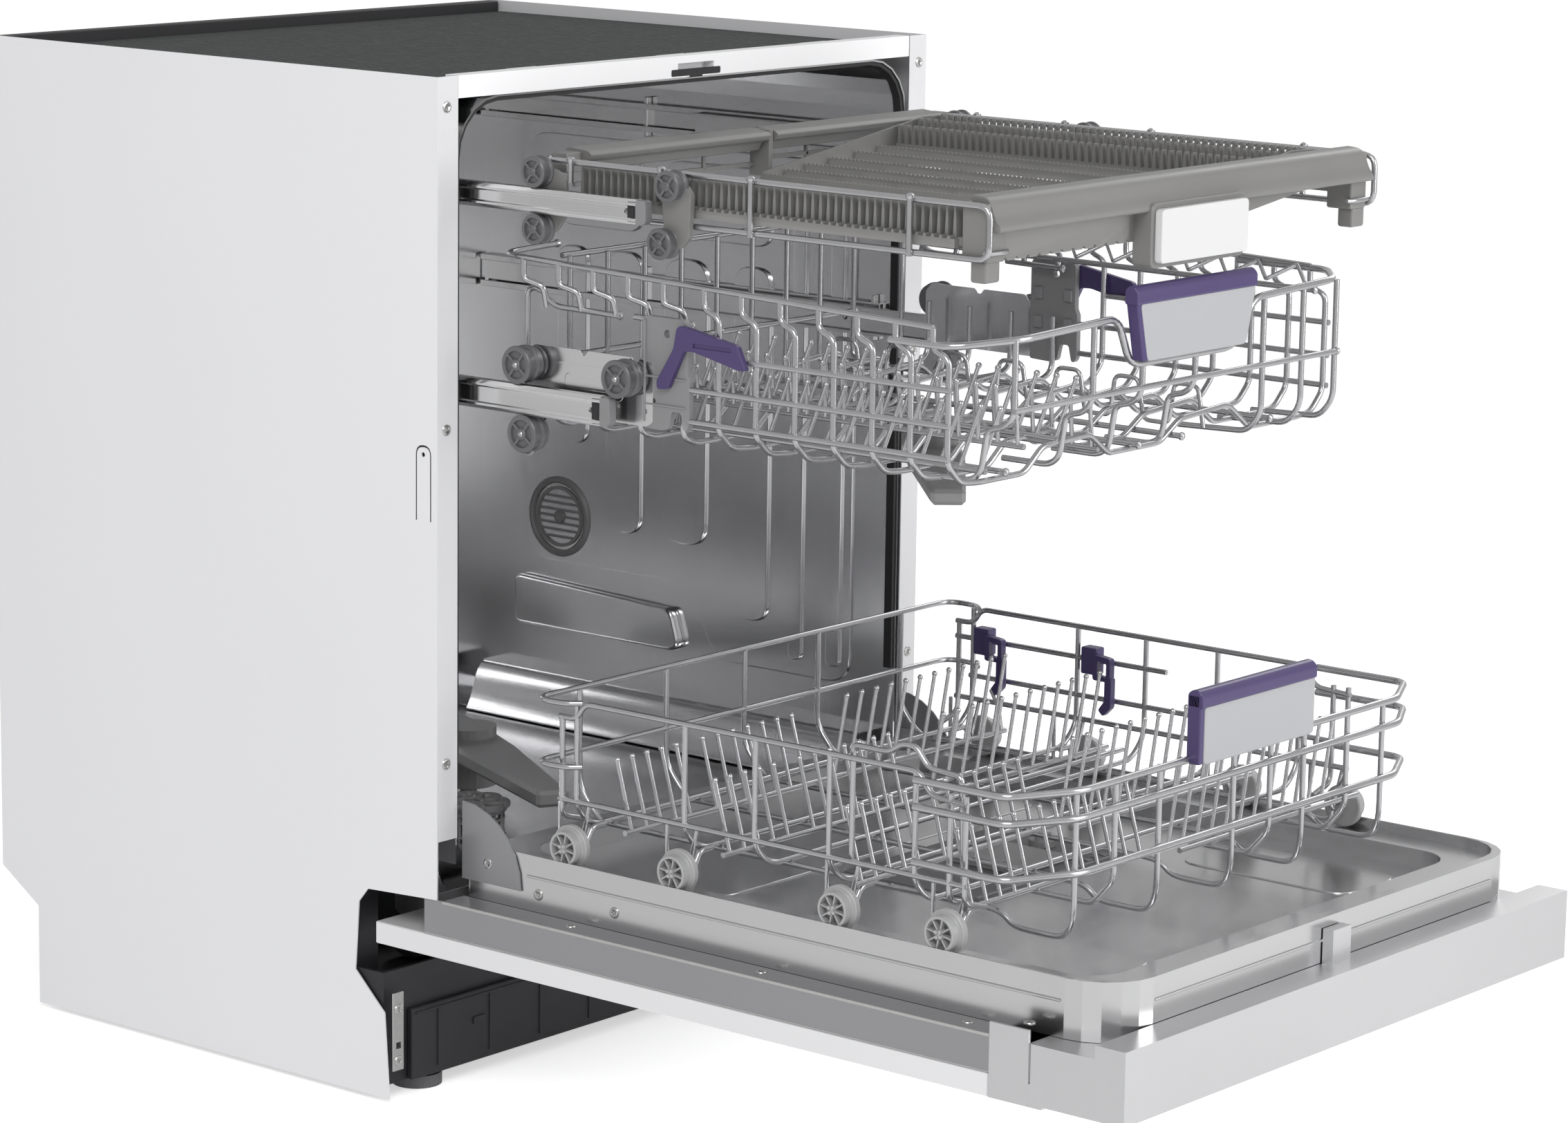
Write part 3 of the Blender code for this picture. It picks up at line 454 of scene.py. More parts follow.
bracket_plastic = finish_of("bracket_moulding", "dark_grey_plastic", (0.20, 0.20, 0.205), 0.0,
                            (0.32, 0.46), (20.0, 0.05), (1300.0, 0.00005), rubbed=3.0)
tray_plastic = finish_of("tray_moulding", "grey_plastic", (0.175, 0.173, 0.169), 0.0,
                         (0.34, 0.48), (14.0, 0.04), (1300.0, 0.00005), rubbed=3.0)
grey_plastic = finish_of("grey_moulding", "grey_plastic", (0.20, 0.20, 0.202), 0.0, (0.34, 0.48),
                         (14.0, 0.05), (1300.0, 0.00005), rubbed=3.0)
light_plastic = finish_of("light_moulding", "light_grey_plastic", (0.36, 0.365, 0.378), 0.0,
                          (0.28, 0.38), (9.0, 0.02), (1400.0, 0.00003))
wheel_plastic = finish_of("wheel_moulding", "light_grey_plastic", (0.37, 0.37, 0.372), 0.0,
                          (0.30, 0.42), (25.0, 0.03), (1400.0, 0.00004))
plate_white = finish_of("white_grip", "light_grey_plastic", (0.60, 0.60, 0.605), 0.0,
                        (0.20, 0.28), (9.0, 0.015), (1400.0, 0.00002))
violet_plastic = finish_of("violet_moulding", "violet_plastic", (0.058, 0.040, 0.125), 0.0,
                           (0.24, 0.34), (12.0, 0.06), (1400.0, 0.00004), rubbed=2.0)
seal_rubber = finish_of("door_seal_rubber", "seal_rubber", (0.018, 0.018, 0.019), 0.0,
                        (0.50, 0.70), (40.0, 0.15), (1600.0, 0.0001))
button_skin = finish_of("button_gloss", "glossy_black", (0.015, 0.015, 0.016), 0.0,
                        (0.08, 0.16), (20.0, 0.10), (900.0, 0.00001))
iron_skin = finish_of("cast_block", "cast_iron", (0.10, 0.10, 0.10), 0.6, (0.60, 0.80),
                      (30.0, 0.20), (500.0, 0.0004))
felt_skin = finish_of("felt_mat", "bitumen_felt", (0.008, 0.015, 0.012), 0.0, (0.45, 0.85),
                      (70.0, 0.70), (150.0, 0.0022))
screw_steel = finish_of("screw_steel", "stainless", (0.55, 0.55, 0.54), 1.0, (0.22, 0.34),
                        (40.0, 0.06), (1500.0, 0.00002))
print(len(bpy.data.materials), "materials")

# %% [markdown]
# ## Workshop tools
#
# Four ways of making are enough for a dishwasher: a block with eased edges,
# a plate cut to an outline, a turned part, and bent wire. Each tool starts
# from an operator and ends with applied modifiers, so that what is left is a
# plain closed mesh.

# %% Edit helpers


def apply_modifier(obj, kind, **settings):
    """Add a modifier, set it and apply it at once."""
    pick(obj)
    step = obj.modifiers.new(kind.lower(), kind)
    for label, value in settings.items():
        setattr(step, label, value)
    bpy.ops.object.modifier_apply(modifier=step.name)
    return obj


def ease(obj, width, segments=2, angle=35):
    """Round off the edges that are sharper than an angle."""
    return apply_modifier(obj, "BEVEL", width=width, segments=segments,
                          limit_method="ANGLE", angle_limit=math.radians(angle))


def tidy_shell(obj):
    """Merge doubles and turn every face outwards."""
    pick(obj)
    bpy.ops.object.mode_set(mode="EDIT")
    bpy.ops.mesh.select_all(action="SELECT")
    bpy.ops.mesh.remove_doubles(threshold=0.000005)
    bpy.ops.mesh.normals_make_consistent(inside=False)
    bpy.ops.object.mode_set(mode="OBJECT")
    return obj


def join(parts):
    """Several objects become one, still at the origin."""
    deselect()
    for part in parts:
        part.select_set(True)
    bpy.context.view_layer.objects.active = parts[0]
    bpy.ops.object.transform_apply(location=True, rotation=True, scale=True)
    bpy.ops.object.join()
    return parts[0]


def carve(obj, *tools):
    """Cut tools out of a piece and throw them away."""
    for tool in tools:
        apply_modifier(obj, "BOOLEAN", operation="DIFFERENCE", object=tool, solver="EXACT")
        bpy.data.objects.remove(tool, do_unlink=True)
    return obj


def copy_of(obj, move=(0, 0, 0), mirror=False):
    """A copy with its own mesh, moved, or mirrored to the other side."""
    twin = obj.copy()
    twin.data = obj.data.copy()
    bpy.context.scene.collection.objects.link(twin)
    if mirror:
        twin.data.transform(Matrix.Scale(-1, 4, (1, 0, 0)))
        twin.data.flip_normals()
    twin.data.transform(Matrix.Translation(move))
    return twin


print("edit helpers ready")

# %% [markdown]
# A finished piece slides back by the front plane's depth, is applied so that
# its place is in its mesh, is shaded smooth except at real edges, with its
# flat faces kept flat by weighted normals, and rides on its body. It may
# stand for CAD nodes, which are then hidden.

# %% Finishing a piece


def place_piece(obj, name, skin, body, stands_for=(), angle=30):
    obj.location.y += FRONT
    pick(obj)
    bpy.ops.object.transform_apply(location=True, rotation=True, scale=True)
    bpy.ops.object.shade_smooth_by_angle(angle=math.radians(angle))
    apply_modifier(obj, "WEIGHTED_NORMAL", weight=90, keep_sharp=True)
    obj.name = name
    obj.data.name = name
    obj.data.materials.clear()
    obj.data.materials.append(skin)
    for face in obj.data.polygons:
        face.material_index = 0
    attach(obj, body)
    if stands_for:
        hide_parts(*stands_for)
    return obj


# %% [markdown]
# A block starts as a cube at its size and place, and gets its eased edges
# from a bevel, as a moulding does from its draft and radius.

# %% Block


def block(low, high, edge=0.0008, segments=2):
    deselect()
    low, high = Vector(low), Vector(high)
    bpy.ops.mesh.primitive_cube_add(size=1, location=(low + high) / 2)
    obj = bpy.context.active_object
    obj.scale = high - low
    bpy.ops.object.transform_apply(location=True, rotation=True, scale=True)
    return ease(obj, edge, segments) if edge else obj


test = block((0, 0, 0), (0.01, 0.01, 0.01))
print("a test block has", len(test.data.polygons), "faces")
bpy.data.objects.remove(test, do_unlink=True)

# %% [markdown]
# Sheet metal and flat mouldings are an outline with a thickness. Corners of
# an outline are rounded by the same rule as the bends of a wire: each corner
# is replaced by a short curve that starts and ends a radius away from it.

# %% Rounded lines and plates


def rounded(points, radius, closed=False, steps=4):
    """Replace the corners of a line by smooth bends."""
    points = [Vector(p) for p in points]
    count = len(points)
    line = [] if closed else [points[0]]
    for i in range(0 if closed else 1, count if closed else count - 1):
        before, corner, after = points[i - 1], points[i], points[(i + 1) % count]
        back, on = before - corner, after - corner
        if back.angle(on, 0) > math.radians(176):
            line.append(corner)
            continue
        start = corner + back.normalized() * min(radius, back.length * 0.48)
        stop = corner + on.normalized() * min(radius, on.length * 0.48)
        for k in range(steps + 1):
            t = k / steps
            line.append(start.lerp(corner, t).lerp(corner.lerp(stop, t), t))
    if not closed:
        line.append(points[-1])
    return line


def plate(outline, axis, low, high, edge=0.0, radius=0.0, segments=2, steps=4):
    """A closed outline in the two other axes, pushed along one axis."""
    if radius:
        flat = rounded([(a, b, 0) for a, b in outline], radius, True, steps)
        outline = [(p.x, p.y) for p in flat]
    spots = {"x": lambda a, b: (low, a, b), "y": lambda a, b: (a, low, b),
             "z": lambda a, b: (a, b, low)}[axis]
    mesh = bpy.data.meshes.new("plate")
    mesh.from_pydata([spots(a, b) for a, b in outline], [], [range(len(outline))])
    obj = bpy.data.objects.new("plate", mesh)
    bpy.context.scene.collection.objects.link(obj)
    pick(obj)
    push = Vector([high - low if axis == name else 0 for name in "xyz"])
    bpy.ops.object.mode_set(mode="EDIT")
    bpy.ops.mesh.select_all(action="SELECT")
    bpy.ops.mesh.extrude_region_move(TRANSFORM_OT_translate={"value": push})
    bpy.ops.mesh.select_all(action="SELECT")
    bpy.ops.mesh.normals_make_consistent(inside=False)
    bpy.ops.object.mode_set(mode="OBJECT")
    return ease(obj, edge, segments) if edge else obj


print("plates and rounded lines ready")

# %% [markdown]
# Wheels, rollers, caps and screw heads are turned. A profile of radius and
# height is drawn beside the axis and spun all the way round.

# %% Turned parts


def turned(profile, centre, axis="z", steps=24):
    """Spin (radius, along) points round an axis through a centre."""
    along = Vector([axis == name for name in "xyz"])
    aside = Vector((0, 0, 1)) if axis != "z" else Vector((1, 0, 0))
    centre = Vector(centre)
    mesh = bpy.data.meshes.new("turned")
    verts = [centre + aside * r + along * h for r, h in profile]
    mesh.from_pydata(verts, [(i, i + 1) for i in range(len(verts) - 1)], [])
    obj = bpy.data.objects.new("turned", mesh)
    bpy.context.scene.collection.objects.link(obj)
    pick(obj)
    bpy.ops.object.mode_set(mode="EDIT")
    bpy.ops.mesh.select_all(action="SELECT")
    bpy.ops.mesh.spin(steps=steps, angle=2 * math.pi, center=centre, axis=along)
    bpy.ops.object.mode_set(mode="OBJECT")
    return tidy_shell(obj)


print("turning ready")

# %% [markdown]
# Bent wire is a curve with a round section. A run is a list of corners, and
# its bends are rounded. A tine ends in a small bead where its coat has run
# together, so its last points swell and close. The whole bundle is one curve
# object, which is then converted to a mesh.

# %% Bent wire


def run(points, thickness=0.0047, bend=0.007, bead=False):
    """One wire: its line and the width at each of its points."""
    line = rounded(points, bend)
    widths = [thickness] * len(line)
    if bead:
        tip = line[-1]
        back = (line[-2] - tip).normalized()
        line[-1:] = [tip + back * 0.0042, tip + back * 0.0032, tip + back * 0.0014, tip]
        widths[-1:] = [thickness, thickness * 1.38, thickness * 1.38, thickness * 0.6]
    return line, widths


def bundle(runs, sides=2):
    """Wires as one mesh; sides is the curve's bevel resolution."""
    deselect()
    bpy.ops.curve.primitive_bezier_curve_add()
    obj = bpy.context.active_object
    obj.location = (0, 0, 0)
    curve = obj.data
    curve.splines.clear()
    curve.dimensions = "3D"
    curve.bevel_depth = 0.5
    curve.bevel_resolution = sides
    curve.use_fill_caps = True
    for line, widths in runs:
        spline = curve.splines.new("POLY")
        spline.points.add(len(line) - 1)
        for point, spot, width in zip(spline.points, line, widths):
            point.co = (*spot, 1)
            point.radius = width
    bpy.ops.object.convert(target="MESH")
    return tidy_shell(bpy.context.active_object)


test = bundle([run([(0, 0, 0), (0.1, 0, 0), (0.1, 0.1, 0)])])
print("a bent wire has", len(test.data.polygons), "faces")
bpy.data.objects.remove(test, do_unlink=True)

# %% [markdown]
# One screw serves the whole machine: a low domed head with a cross recess.
# It is turned once and copied wherever a screw sits, turned to its face.

# %% Screw
screw_head = turned([(0, 0.0006), (0.0012, 0.00062), (0.0030, 0.0011), (0.0041, 0.0008),
                     (0.0045, 0.0002), (0.0045, -0.0006), (0, -0.0006)], (0, 0, 0), "z", 16)
carve(screw_head, block((-0.0022, -0.00045, 0.0001), (0.0022, 0.00045, 0.002), 0),
      block((-0.00045, -0.0022, 0.0001), (0.00045, 0.0022, 0.002), 0))
screw_head.name = "screw_pattern"
screw_head.hide_render = True
screw_head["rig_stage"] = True


def screws(spots, facing, turn=0.4):
    """Copies of the screw on a face, as one mesh. Facing is the outward direction."""
    made = []
    for number, spot in enumerate(spots):
        one = copy_of(screw_head)
        one.hide_render = False
        del one["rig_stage"]
        spin = Matrix.Rotation(turn + number, 4, "Z")
        aim = Vector(facing).to_track_quat("Z", "Y").to_matrix().to_4x4()
        one.data.transform(Matrix.Translation(spot) @ aim @ spin)
        made.append(one)
    return join(made)


print("screw head has", len(screw_head.data.polygons), "faces")

# %% [markdown]
# ## The lower rack
#
# The lower rack is a welded basket. Loops of wire run across it from rim to
# rim and from front to back, long wires tie the loops together along the
# walls, and rows of tines stand on rods. Its levels are read from the CAD
# basket: the rim from its top, the bed from the axles and the floor.

# %% Lower rack sizes
basket_low, basket_high = depth_box("lower_rack")
RIM = basket_high.z - 0.002
REAR = basket_high.y - 0.002
NOSE = basket_low.y - 0.002
BED = 0.2415
SIDE = 0.250
TINE_ROWS = (-0.147, -0.245, -0.372, -0.474)
print("rim", round(RIM, 4), "rear", round(REAR, 4), "nose", round(NOSE, 4))

# %% [markdown]
# The walls come first. Each side has a top wire whose ends dip below the rim
# hoops, and a lower wire. The right wall has two more, for the tine clips. A
# hoop goes round the back at the rim and another half way down. At the front
# three heavy wires carry the handle; they turn the corners with a chamfer
# and stop a hand's width along the sides.

# %% Lower rack walls


def side_wires(x):
    return [
        run([(x, -0.083, RIM - 0.013), (x, -0.101, RIM - 0.013), (x, -0.109, RIM),
             (x, -0.432, RIM), (x, -0.445, RIM - 0.016), (x, -0.478, RIM - 0.018)]),
        run([(x, -0.083, 0.263), (x, -0.478, 0.263)]),
    ]


lower_runs = side_wires(-SIDE) + side_wires(SIDE)
lower_runs += [run([(SIDE, -0.083, 0.315), (SIDE, -0.300, 0.315)]),
               run([(SIDE, -0.098, 0.283), (SIDE, -0.470, 0.283)])]
for height in (RIM, 0.291):
    hoop = [(-SIDE, -0.106, height), (-SIDE - 0.010, -0.096, height),
            (-SIDE - 0.010, REAR, height)]
    hoop += [(-x, y, z) for x, y, z in reversed(hoop)]
    lower_runs.append(run(hoop, bend=0.018))
for height, reach in ((RIM - 0.003, 0.208), (0.318, 0.212), (0.277, 0.208)):
    lower_runs.append(run([(-0.262, -0.438, height), (-0.262, -0.520, height),
                           (-reach, NOSE, height), (reach, NOSE, height),
                           (0.262, -0.520, height), (0.262, -0.438, height)],
                          thickness=0.0060, bend=0.010))
print(len(lower_runs), "wall wires")

# %% [markdown]
# The loops that cross the basket drop from the rim, turn under the lower
# wire and run over the bed. The loops from back to front go lower at the
# nose, where they form the skids under the front wires.

# %% Lower rack loops
for depth in (-0.101, -0.210, -0.279, -0.350, -0.430):
    wall = [(-SIDE, depth, RIM), (-SIDE, depth, 0.258), (-0.232, depth, BED)]
    other = [(-x, y, z) for x, y, z in reversed(wall)]
    lower_runs.append(run(wall + other, thickness=0.0046, bend=0.010))
for depth in (-0.086, -0.462, -0.476):
    for side in (-SIDE, SIDE):
        lower_runs.append(run([(side, depth, RIM - 0.012), (side, depth, 0.250),
                               (side * 0.9, depth, 0.243)], bend=0.008))
for x in (-0.208, -0.105, -0.009, 0.085, 0.195):
    lower_runs.append(run([(x, REAR, RIM), (x, REAR, 0.262), (x, -0.088, BED - 0.004),
                           (x, -0.478, BED - 0.004), (x, -0.490, 0.227), (x, -0.536, 0.227),
                           (x, NOSE + 0.004, 0.242), (x, NOSE + 0.004, RIM - 0.002)],
                          thickness=0.0046, bend=0.012))
for x in (-0.160, 0.040, 0.145):
    lower_runs.append(run([(x, NOSE + 0.004, RIM - 0.002), (x, NOSE + 0.004, 0.262),
                           (x, NOSE + 0.022, BED), (x, -0.470, BED)], thickness=0.0046))
print(len(lower_runs), "wires in the basket")

# %% [markdown]
# Over the left wall stands a wavy wire that keeps long handles from sliding
# out. Eight short wires end in the axles, each bent out under the wall, with
# a hook that guards the wheel.

# %% Lower rack wave and axles
axle_x, axle_z = SIDE + 0.020, sum(v.z for v in depth_box("wheel_left_1")) / 2
lower_runs.append(run([(-0.243, -0.366, 0.262), (-0.243, -0.366, 0.349), (-0.243, -0.400, 0.349),
                       (-0.243, -0.411, 0.357), (-0.243, -0.424, 0.357), (-0.243, -0.436, 0.343),
                       (-0.243, -0.466, 0.341), (-0.243, -0.470, 0.262)], bend=0.005))
wheel_depths = []
for number in "1234":
    low, high = depth_box("wheel_left_" + number)
    depth = (low.y + high.y) / 2
    wheel_depths.append(depth)
    for side in (-1, 1):
        lower_runs.append(run([(side * 0.222, depth, BED), (side * 0.236, depth, BED),
                               (side * 0.243, depth, axle_z), (side * axle_x, depth, axle_z)],
                              bend=0.004))
        lower_runs.append(run([(side * 0.2465, depth + 0.024, 0.262),
                               (side * 0.2465, depth + 0.024, 0.2195),
                               (side * 0.2465, depth + 0.004, 0.2195),
                               (side * 0.2465, depth - 0.006, 0.262)],
                              thickness=0.0034, bend=0.006))
print(len(wheel_depths), "axles a side at depths", [round(d, 3) for d in wheel_depths])

# %% [markdown]
# Tines hold plates apart. In the left half they are short and lean back in
# two groups; in the right half they are longer and lean to the right. A
# tine is the same bent wire each time, so one function makes a row.

# %% Lower rack tines
LEFT_TINES = [-0.238 + 0.0172 * k for k in range(5)] + [-0.138 + 0.0182 * k for k in range(7)]
RIGHT_TINES = [0.008 + 0.0192 * k for k in range(12)]
TINE_FOOT = BED + 0.0045


def tine(x, depth, lean_x, lean_y, height):
    foot = Vector((x, depth, TINE_FOOT))
    return run([foot, foot + Vector((lean_x, lean_y, height))], thickness=0.0034, bead=True)


def row_rod(depth, start, stop):
    return run([(start, depth, TINE_FOOT - 0.001), (stop, depth, TINE_FOOT - 0.001)],
               thickness=0.0046)


for depth in TINE_ROWS:
    lower_runs.append(row_rod(depth, -0.246, 0.0 if depth == TINE_ROWS[0] else 0.246))
    lower_runs += [tine(x, depth, 0.0, 0.016, 0.055) for x in LEFT_TINES]
for depth in TINE_ROWS[1:]:
    lower_runs += [tine(x, depth, 0.020, 0.004, 0.064) for x in RIGHT_TINES]
    lower_runs.append(row_rod(depth - 0.016, 0.0, 0.246))
lower_basket = place_piece(bundle(lower_runs), "lower_basket", wire_coat, "lower_rack_unit",
                           ["lower_rack"], 50)
fold_runs = [row_rod(TINE_ROWS[0], 0.004, 0.236)]
fold_runs += [tine(x, TINE_ROWS[0], 0.020, 0.004, 0.064) for x in RIGHT_TINES]
fold_runs.append(run([(0.231, TINE_ROWS[0], TINE_FOOT), (0.236, -0.140, 0.262),
                      (0.240, -0.128, 0.276)], thickness=0.0034))
place_piece(bundle(fold_runs), "folding_tines", wire_coat, "tine_row_body",
            ["lower_tine_row"], 50)
print(len(lower_basket.data.polygons), "faces in the basket")

# %% [markdown]
# Two violet clips snap on the right wall's wires and hold the cranked ends
# of the folding rows. Each is a saddle on the wall wire, an open ring and a
# hooked finger that reaches down.

# %% Tine clips


def tine_clip(depth):
    x = SIDE
    saddle = block((x - 0.006, depth - 0.007, 0.303), (x + 0.006, depth + 0.009, 0.326), 0.0015)
    ring = plate([(depth - 0.024, 0.300), (depth - 0.006, 0.300), (depth - 0.006, 0.322),
                  (depth - 0.024, 0.320)], "x", x - 0.010, x - 0.003, 0.0008, radius=0.003)
    hole = plate([(depth - 0.020, 0.304), (depth - 0.011, 0.304), (depth - 0.011, 0.317),
                  (depth - 0.020, 0.316)], "x", x - 0.02, x + 0.01, 0, radius=0.002)
    carve(ring, hole)
    finger = plate([(depth - 0.026, 0.304), (depth - 0.019, 0.304), (depth - 0.019, 0.284),
                    (depth - 0.013, 0.276), (depth - 0.018, 0.271), (depth - 0.026, 0.279)],
                   "x", x - 0.011, x - 0.004, 0.001, radius=0.002)
    return join([saddle, ring, finger])


clips = join([tine_clip(-0.114), tine_clip(-0.226)])
place_piece(clips, "tine_clips", violet_plastic, "lower_rack_unit")
print("two clips")

# %% [markdown]
# The handle is two mouldings: a light plate, and a violet cap that wraps its
# top and its left edge. The plate has a soft edge all round and
# rounded lower corners. It is left blank.

# %% Lower handle
plate_low, plate_high = depth_box("lower_rack_handle")


def handle_plate(outline, back, front):
    """A face plate with a soft edge all round."""
    obj = plate(outline, "y", back, front, radius=0.005, steps=5)
    return ease(obj, 0.0015, 3, 50)


low, high = plate_low, plate_high
face_top = high.z - 0.011
lower_plate = handle_plate([(low.x + 0.006, low.z), (high.x, low.z), (high.x, face_top),
                            (low.x + 0.006, face_top)], high.y - 0.003, low.y + 0.001)
place_piece(lower_plate, "lower_handle_plate", light_plastic, "lower_rack_unit",
            ["lower_rack_handle"])


def handle_cap(low, high, band, corner):
    """The violet moulding behind a plate: a top bead and a left-hand edge."""
    top = plate([(low.y - 0.0005, high.z - band), (high.y, high.z - band), (high.y, high.z - 0.003),
                 (high.y - 0.004, high.z), (low.y + 0.004, high.z),
                 (low.y - 0.0005, high.z - 0.004)],
                "x", low.x, high.x, 0.0012, radius=0.002, segments=3)
    edge = block((low.x, low.y + 0.0015, corner), (low.x + 0.0065, high.y, high.z - 0.003),
                 0.0014, 3)
    back = block((low.x + 0.003, high.y - 0.0035, corner + 0.002),
                 (high.x - 0.003, high.y, high.z - 0.004), 0.001)
    return join([top, edge, back])


place_piece(handle_cap(low, high, 0.0135, low.z + 0.001), "lower_handle_cap", violet_plastic,
            "lower_rack_unit")
print("lower handle in two colours")

# %% [markdown]
# The wheels are moulded in one piece: a wide flange that runs on the ledge,
# and a smaller drum in front of it whose face is open, with eight thin
# spokes round a four-lobed hub. One is modelled at the first left axle and
# copied to the other seven.

# %% Wheels
low, high = depth_box("wheel_left_1")
wheel_centre = Vector(((low.x + high.x) / 2, (low.y + high.y) / 2, (low.z + high.z) / 2))
RADIUS = (high.z - low.z) / 2
DRUM = RADIUS * 0.80


def wheel():
    c = wheel_centre
    rim = turned([(0.0050, 0.0062), (RADIUS - 0.0012, 0.0062), (RADIUS, 0.0052), (RADIUS, 0.0012),
                  (RADIUS - 0.0012, 0.0002), (DRUM + 0.0012, 0.0002), (DRUM, -0.0008),
                  (DRUM - 0.0004, -0.0072), (DRUM - 0.0012, -0.0078), (DRUM - 0.0024, -0.0074),
                  (DRUM - 0.0030, -0.0012), (0.0050, -0.0008), (0.0050, 0.0062)], c, "x", 40)
    hub = turned([(0, -0.0078), (0.0022, -0.0078), (0.0030, -0.0070), (0.0032, -0.0006),
                  (0.0052, 0.0), (0.0052, 0.0058), (0, 0.0058), (0, -0.0078)], c, "x", 16)
    parts = [rim, hub]
    for k in range(8):
        turn = math.radians(45 * k + 12)
        spoke = block((c.x - 0.0070, c.y + 0.0028, c.z - 0.0006),
                      (c.x - 0.0008, c.y + DRUM - 0.0020, c.z + 0.0006), 0.0003, 1)
        spoke.data.transform(Matrix.Translation(c) @ Matrix.Rotation(turn, 4, "X")
                             @ Matrix.Translation(-c))
        parts.append(spoke)
    for k in range(4):
        turn = math.radians(90 * k + 35)
        spot = c + Vector((0, math.cos(turn), math.sin(turn))) * 0.0026
        parts.append(turned([(0, -0.0086), (0.0014, -0.0086), (0.0018, -0.0078), (0.0018, -0.002),
                             (0, -0.002)], spot, "x", 10))
    return join(parts)


first_wheel = wheel()
for side, word in ((1, "left"), (-1, "right")):
    for number, depth in zip("1234", wheel_depths):
        twin = copy_of(first_wheel, (0, depth - wheel_centre.y, 0))
        if side < 0:
            twin = copy_of(twin, mirror=True)
        name = f"wheel_{word}_{number}"
        place_piece(twin, "spoked_" + name, wheel_plastic, name + "_body", [name])
for leftover in [o for o in bpy.data.objects if o.name.startswith("turned")]:
    bpy.data.objects.remove(leftover, do_unlink=True)

# %% [markdown]
# ## The upper rack
#
# The upper rack is a lighter basket that hangs on two roller plates. Its rim
# is a bent wire on each side, with a heavy wire round the front that dips
# under the handle. The side walls have stepped wires, so that cups can lean
# outwards, and the bed is a row of loops with a wave in it.

# %% Upper rack walls
upper_low, upper_high = depth_box("upper_rack")
TOP = upper_high.z - 0.002
EDGE = upper_high.x + 0.004
FACE = upper_low.y + 0.0025
FLOOR = upper_low.z + 0.004
upper_runs = []


def rim_height(depth):
    """The side rim climbs a little towards the back."""
    return TOP + 0.008 + 0.035 * (depth + 0.1)


for side in (-1, 1):
    x = side * EDGE
    upper_runs.append(run([(x, -0.431, rim_height(-0.431)), (x, -0.012, rim_height(-0.012)),
                           (side * 0.175, -0.012, 0.680)], bend=0.020, bead=True))
    for height, start in ((0.620, -0.231), (0.594, -0.206), (0.570, -0.206)):
        upper_runs.append(run([(x + side * 0.002, start, height),
                               (x + side * 0.002, -0.449, height)]))
    upper_runs.append(run([(x - side * 0.010, -0.031, FLOOR), (x - side * 0.010, -0.031, 0.653),
                           (x - side * 0.010, -0.046, 0.653), (x - side * 0.010, -0.058, 0.641),
                           (x - side * 0.010, -0.128, 0.640)], bend=0.008, bead=True))
    upper_runs.append(run([(x - side * 0.010, -0.140, 0.641), (x - side * 0.010, -0.200, 0.640)],
                          bead=True))
for height in (0.672, 0.593):
    upper_runs.append(run([(-0.183, -0.022, height), (0.183, -0.022, height)], bead=True))
upper_runs.append(run([(-EDGE, -0.392, 0.651), (-EDGE, -0.447, 0.651), (-0.200, FACE, 0.655),
                       (-0.082, FACE, 0.659), (-0.065, FACE, 0.6225), (0.069, FACE, 0.6225),
                       (0.094, FACE, 0.657), (0.204, FACE, 0.661), (EDGE, -0.447, 0.662),
                       (EDGE, -0.362, 0.662)], thickness=0.0058, bend=0.012))
upper_runs.append(run([(-0.206, FACE, 0.604), (0.214, FACE, 0.604)], bead=True))
print(len(upper_runs), "wall wires, rim at", round(TOP, 4))

# %% [markdown]
# Every 36 mm a wire comes down from the rim, steps forward by a finger's
# width and carries on. Beside the roller plates it ends on the shelf wire;
# in front of them it becomes a loop that runs under the whole bed.

# %% Upper rack loops


def stepped(side, depth, down_to):
    """The stepped upper part of a side wire, from the rim down."""
    x, rim = side * EDGE, rim_height(depth)
    return [(x, depth + 0.015, rim), (x, depth + 0.015, rim - 0.015), (x, depth, rim - 0.021),
            (x, depth, down_to)]


for side in (-1, 1):
    for depth in (-0.051, -0.087, -0.122, -0.157, -0.192):
        rim = rim_height(depth)
        upper_runs.append(run([(side * EDGE, depth + 0.015, rim),
                               (side * EDGE, depth + 0.015, rim - 0.016),
                               (side * (EDGE - 0.006), depth, rim - 0.021),
                               (side * (EDGE - 0.010), depth, 0.640)], bend=0.004))
bed_wave = [(-0.205, FLOOR), (-0.150, FLOOR), (-0.128, 0.566), (-0.070, 0.568),
            (-0.046, FLOOR + 0.002),
            (0.020, FLOOR + 0.002), (0.046, 0.566), (0.110, 0.570), (0.140, FLOOR), (0.205, FLOOR)]
for depth in (-0.232, -0.268, -0.305, -0.341, -0.377, -0.412, -0.446):
    left = stepped(-1, depth, 0.566)
    right_side = [(-x, y, z) for x, y, z in reversed(left)]
    bed = [(x, depth, z) for x, z in bed_wave]
    upper_runs.append(run(left + [(-0.226, depth, FLOOR + 0.002)] + bed
                          + [(0.226, depth, FLOOR + 0.002)] + right_side, bend=0.006))
for depth in (-0.060, -0.103, -0.146, -0.189):
    bed = [(x, depth, z) for x, z in bed_wave]
    upper_runs.append(run([(-EDGE + 0.010, depth, 0.6), (-EDGE + 0.010, depth, FLOOR + 0.006),
                           (-0.218, depth, FLOOR)] + bed
                          + [(0.218, depth, FLOOR), (EDGE - 0.010, depth, FLOOR + 0.006),
                             (EDGE - 0.010, depth, 0.6)], bend=0.009))
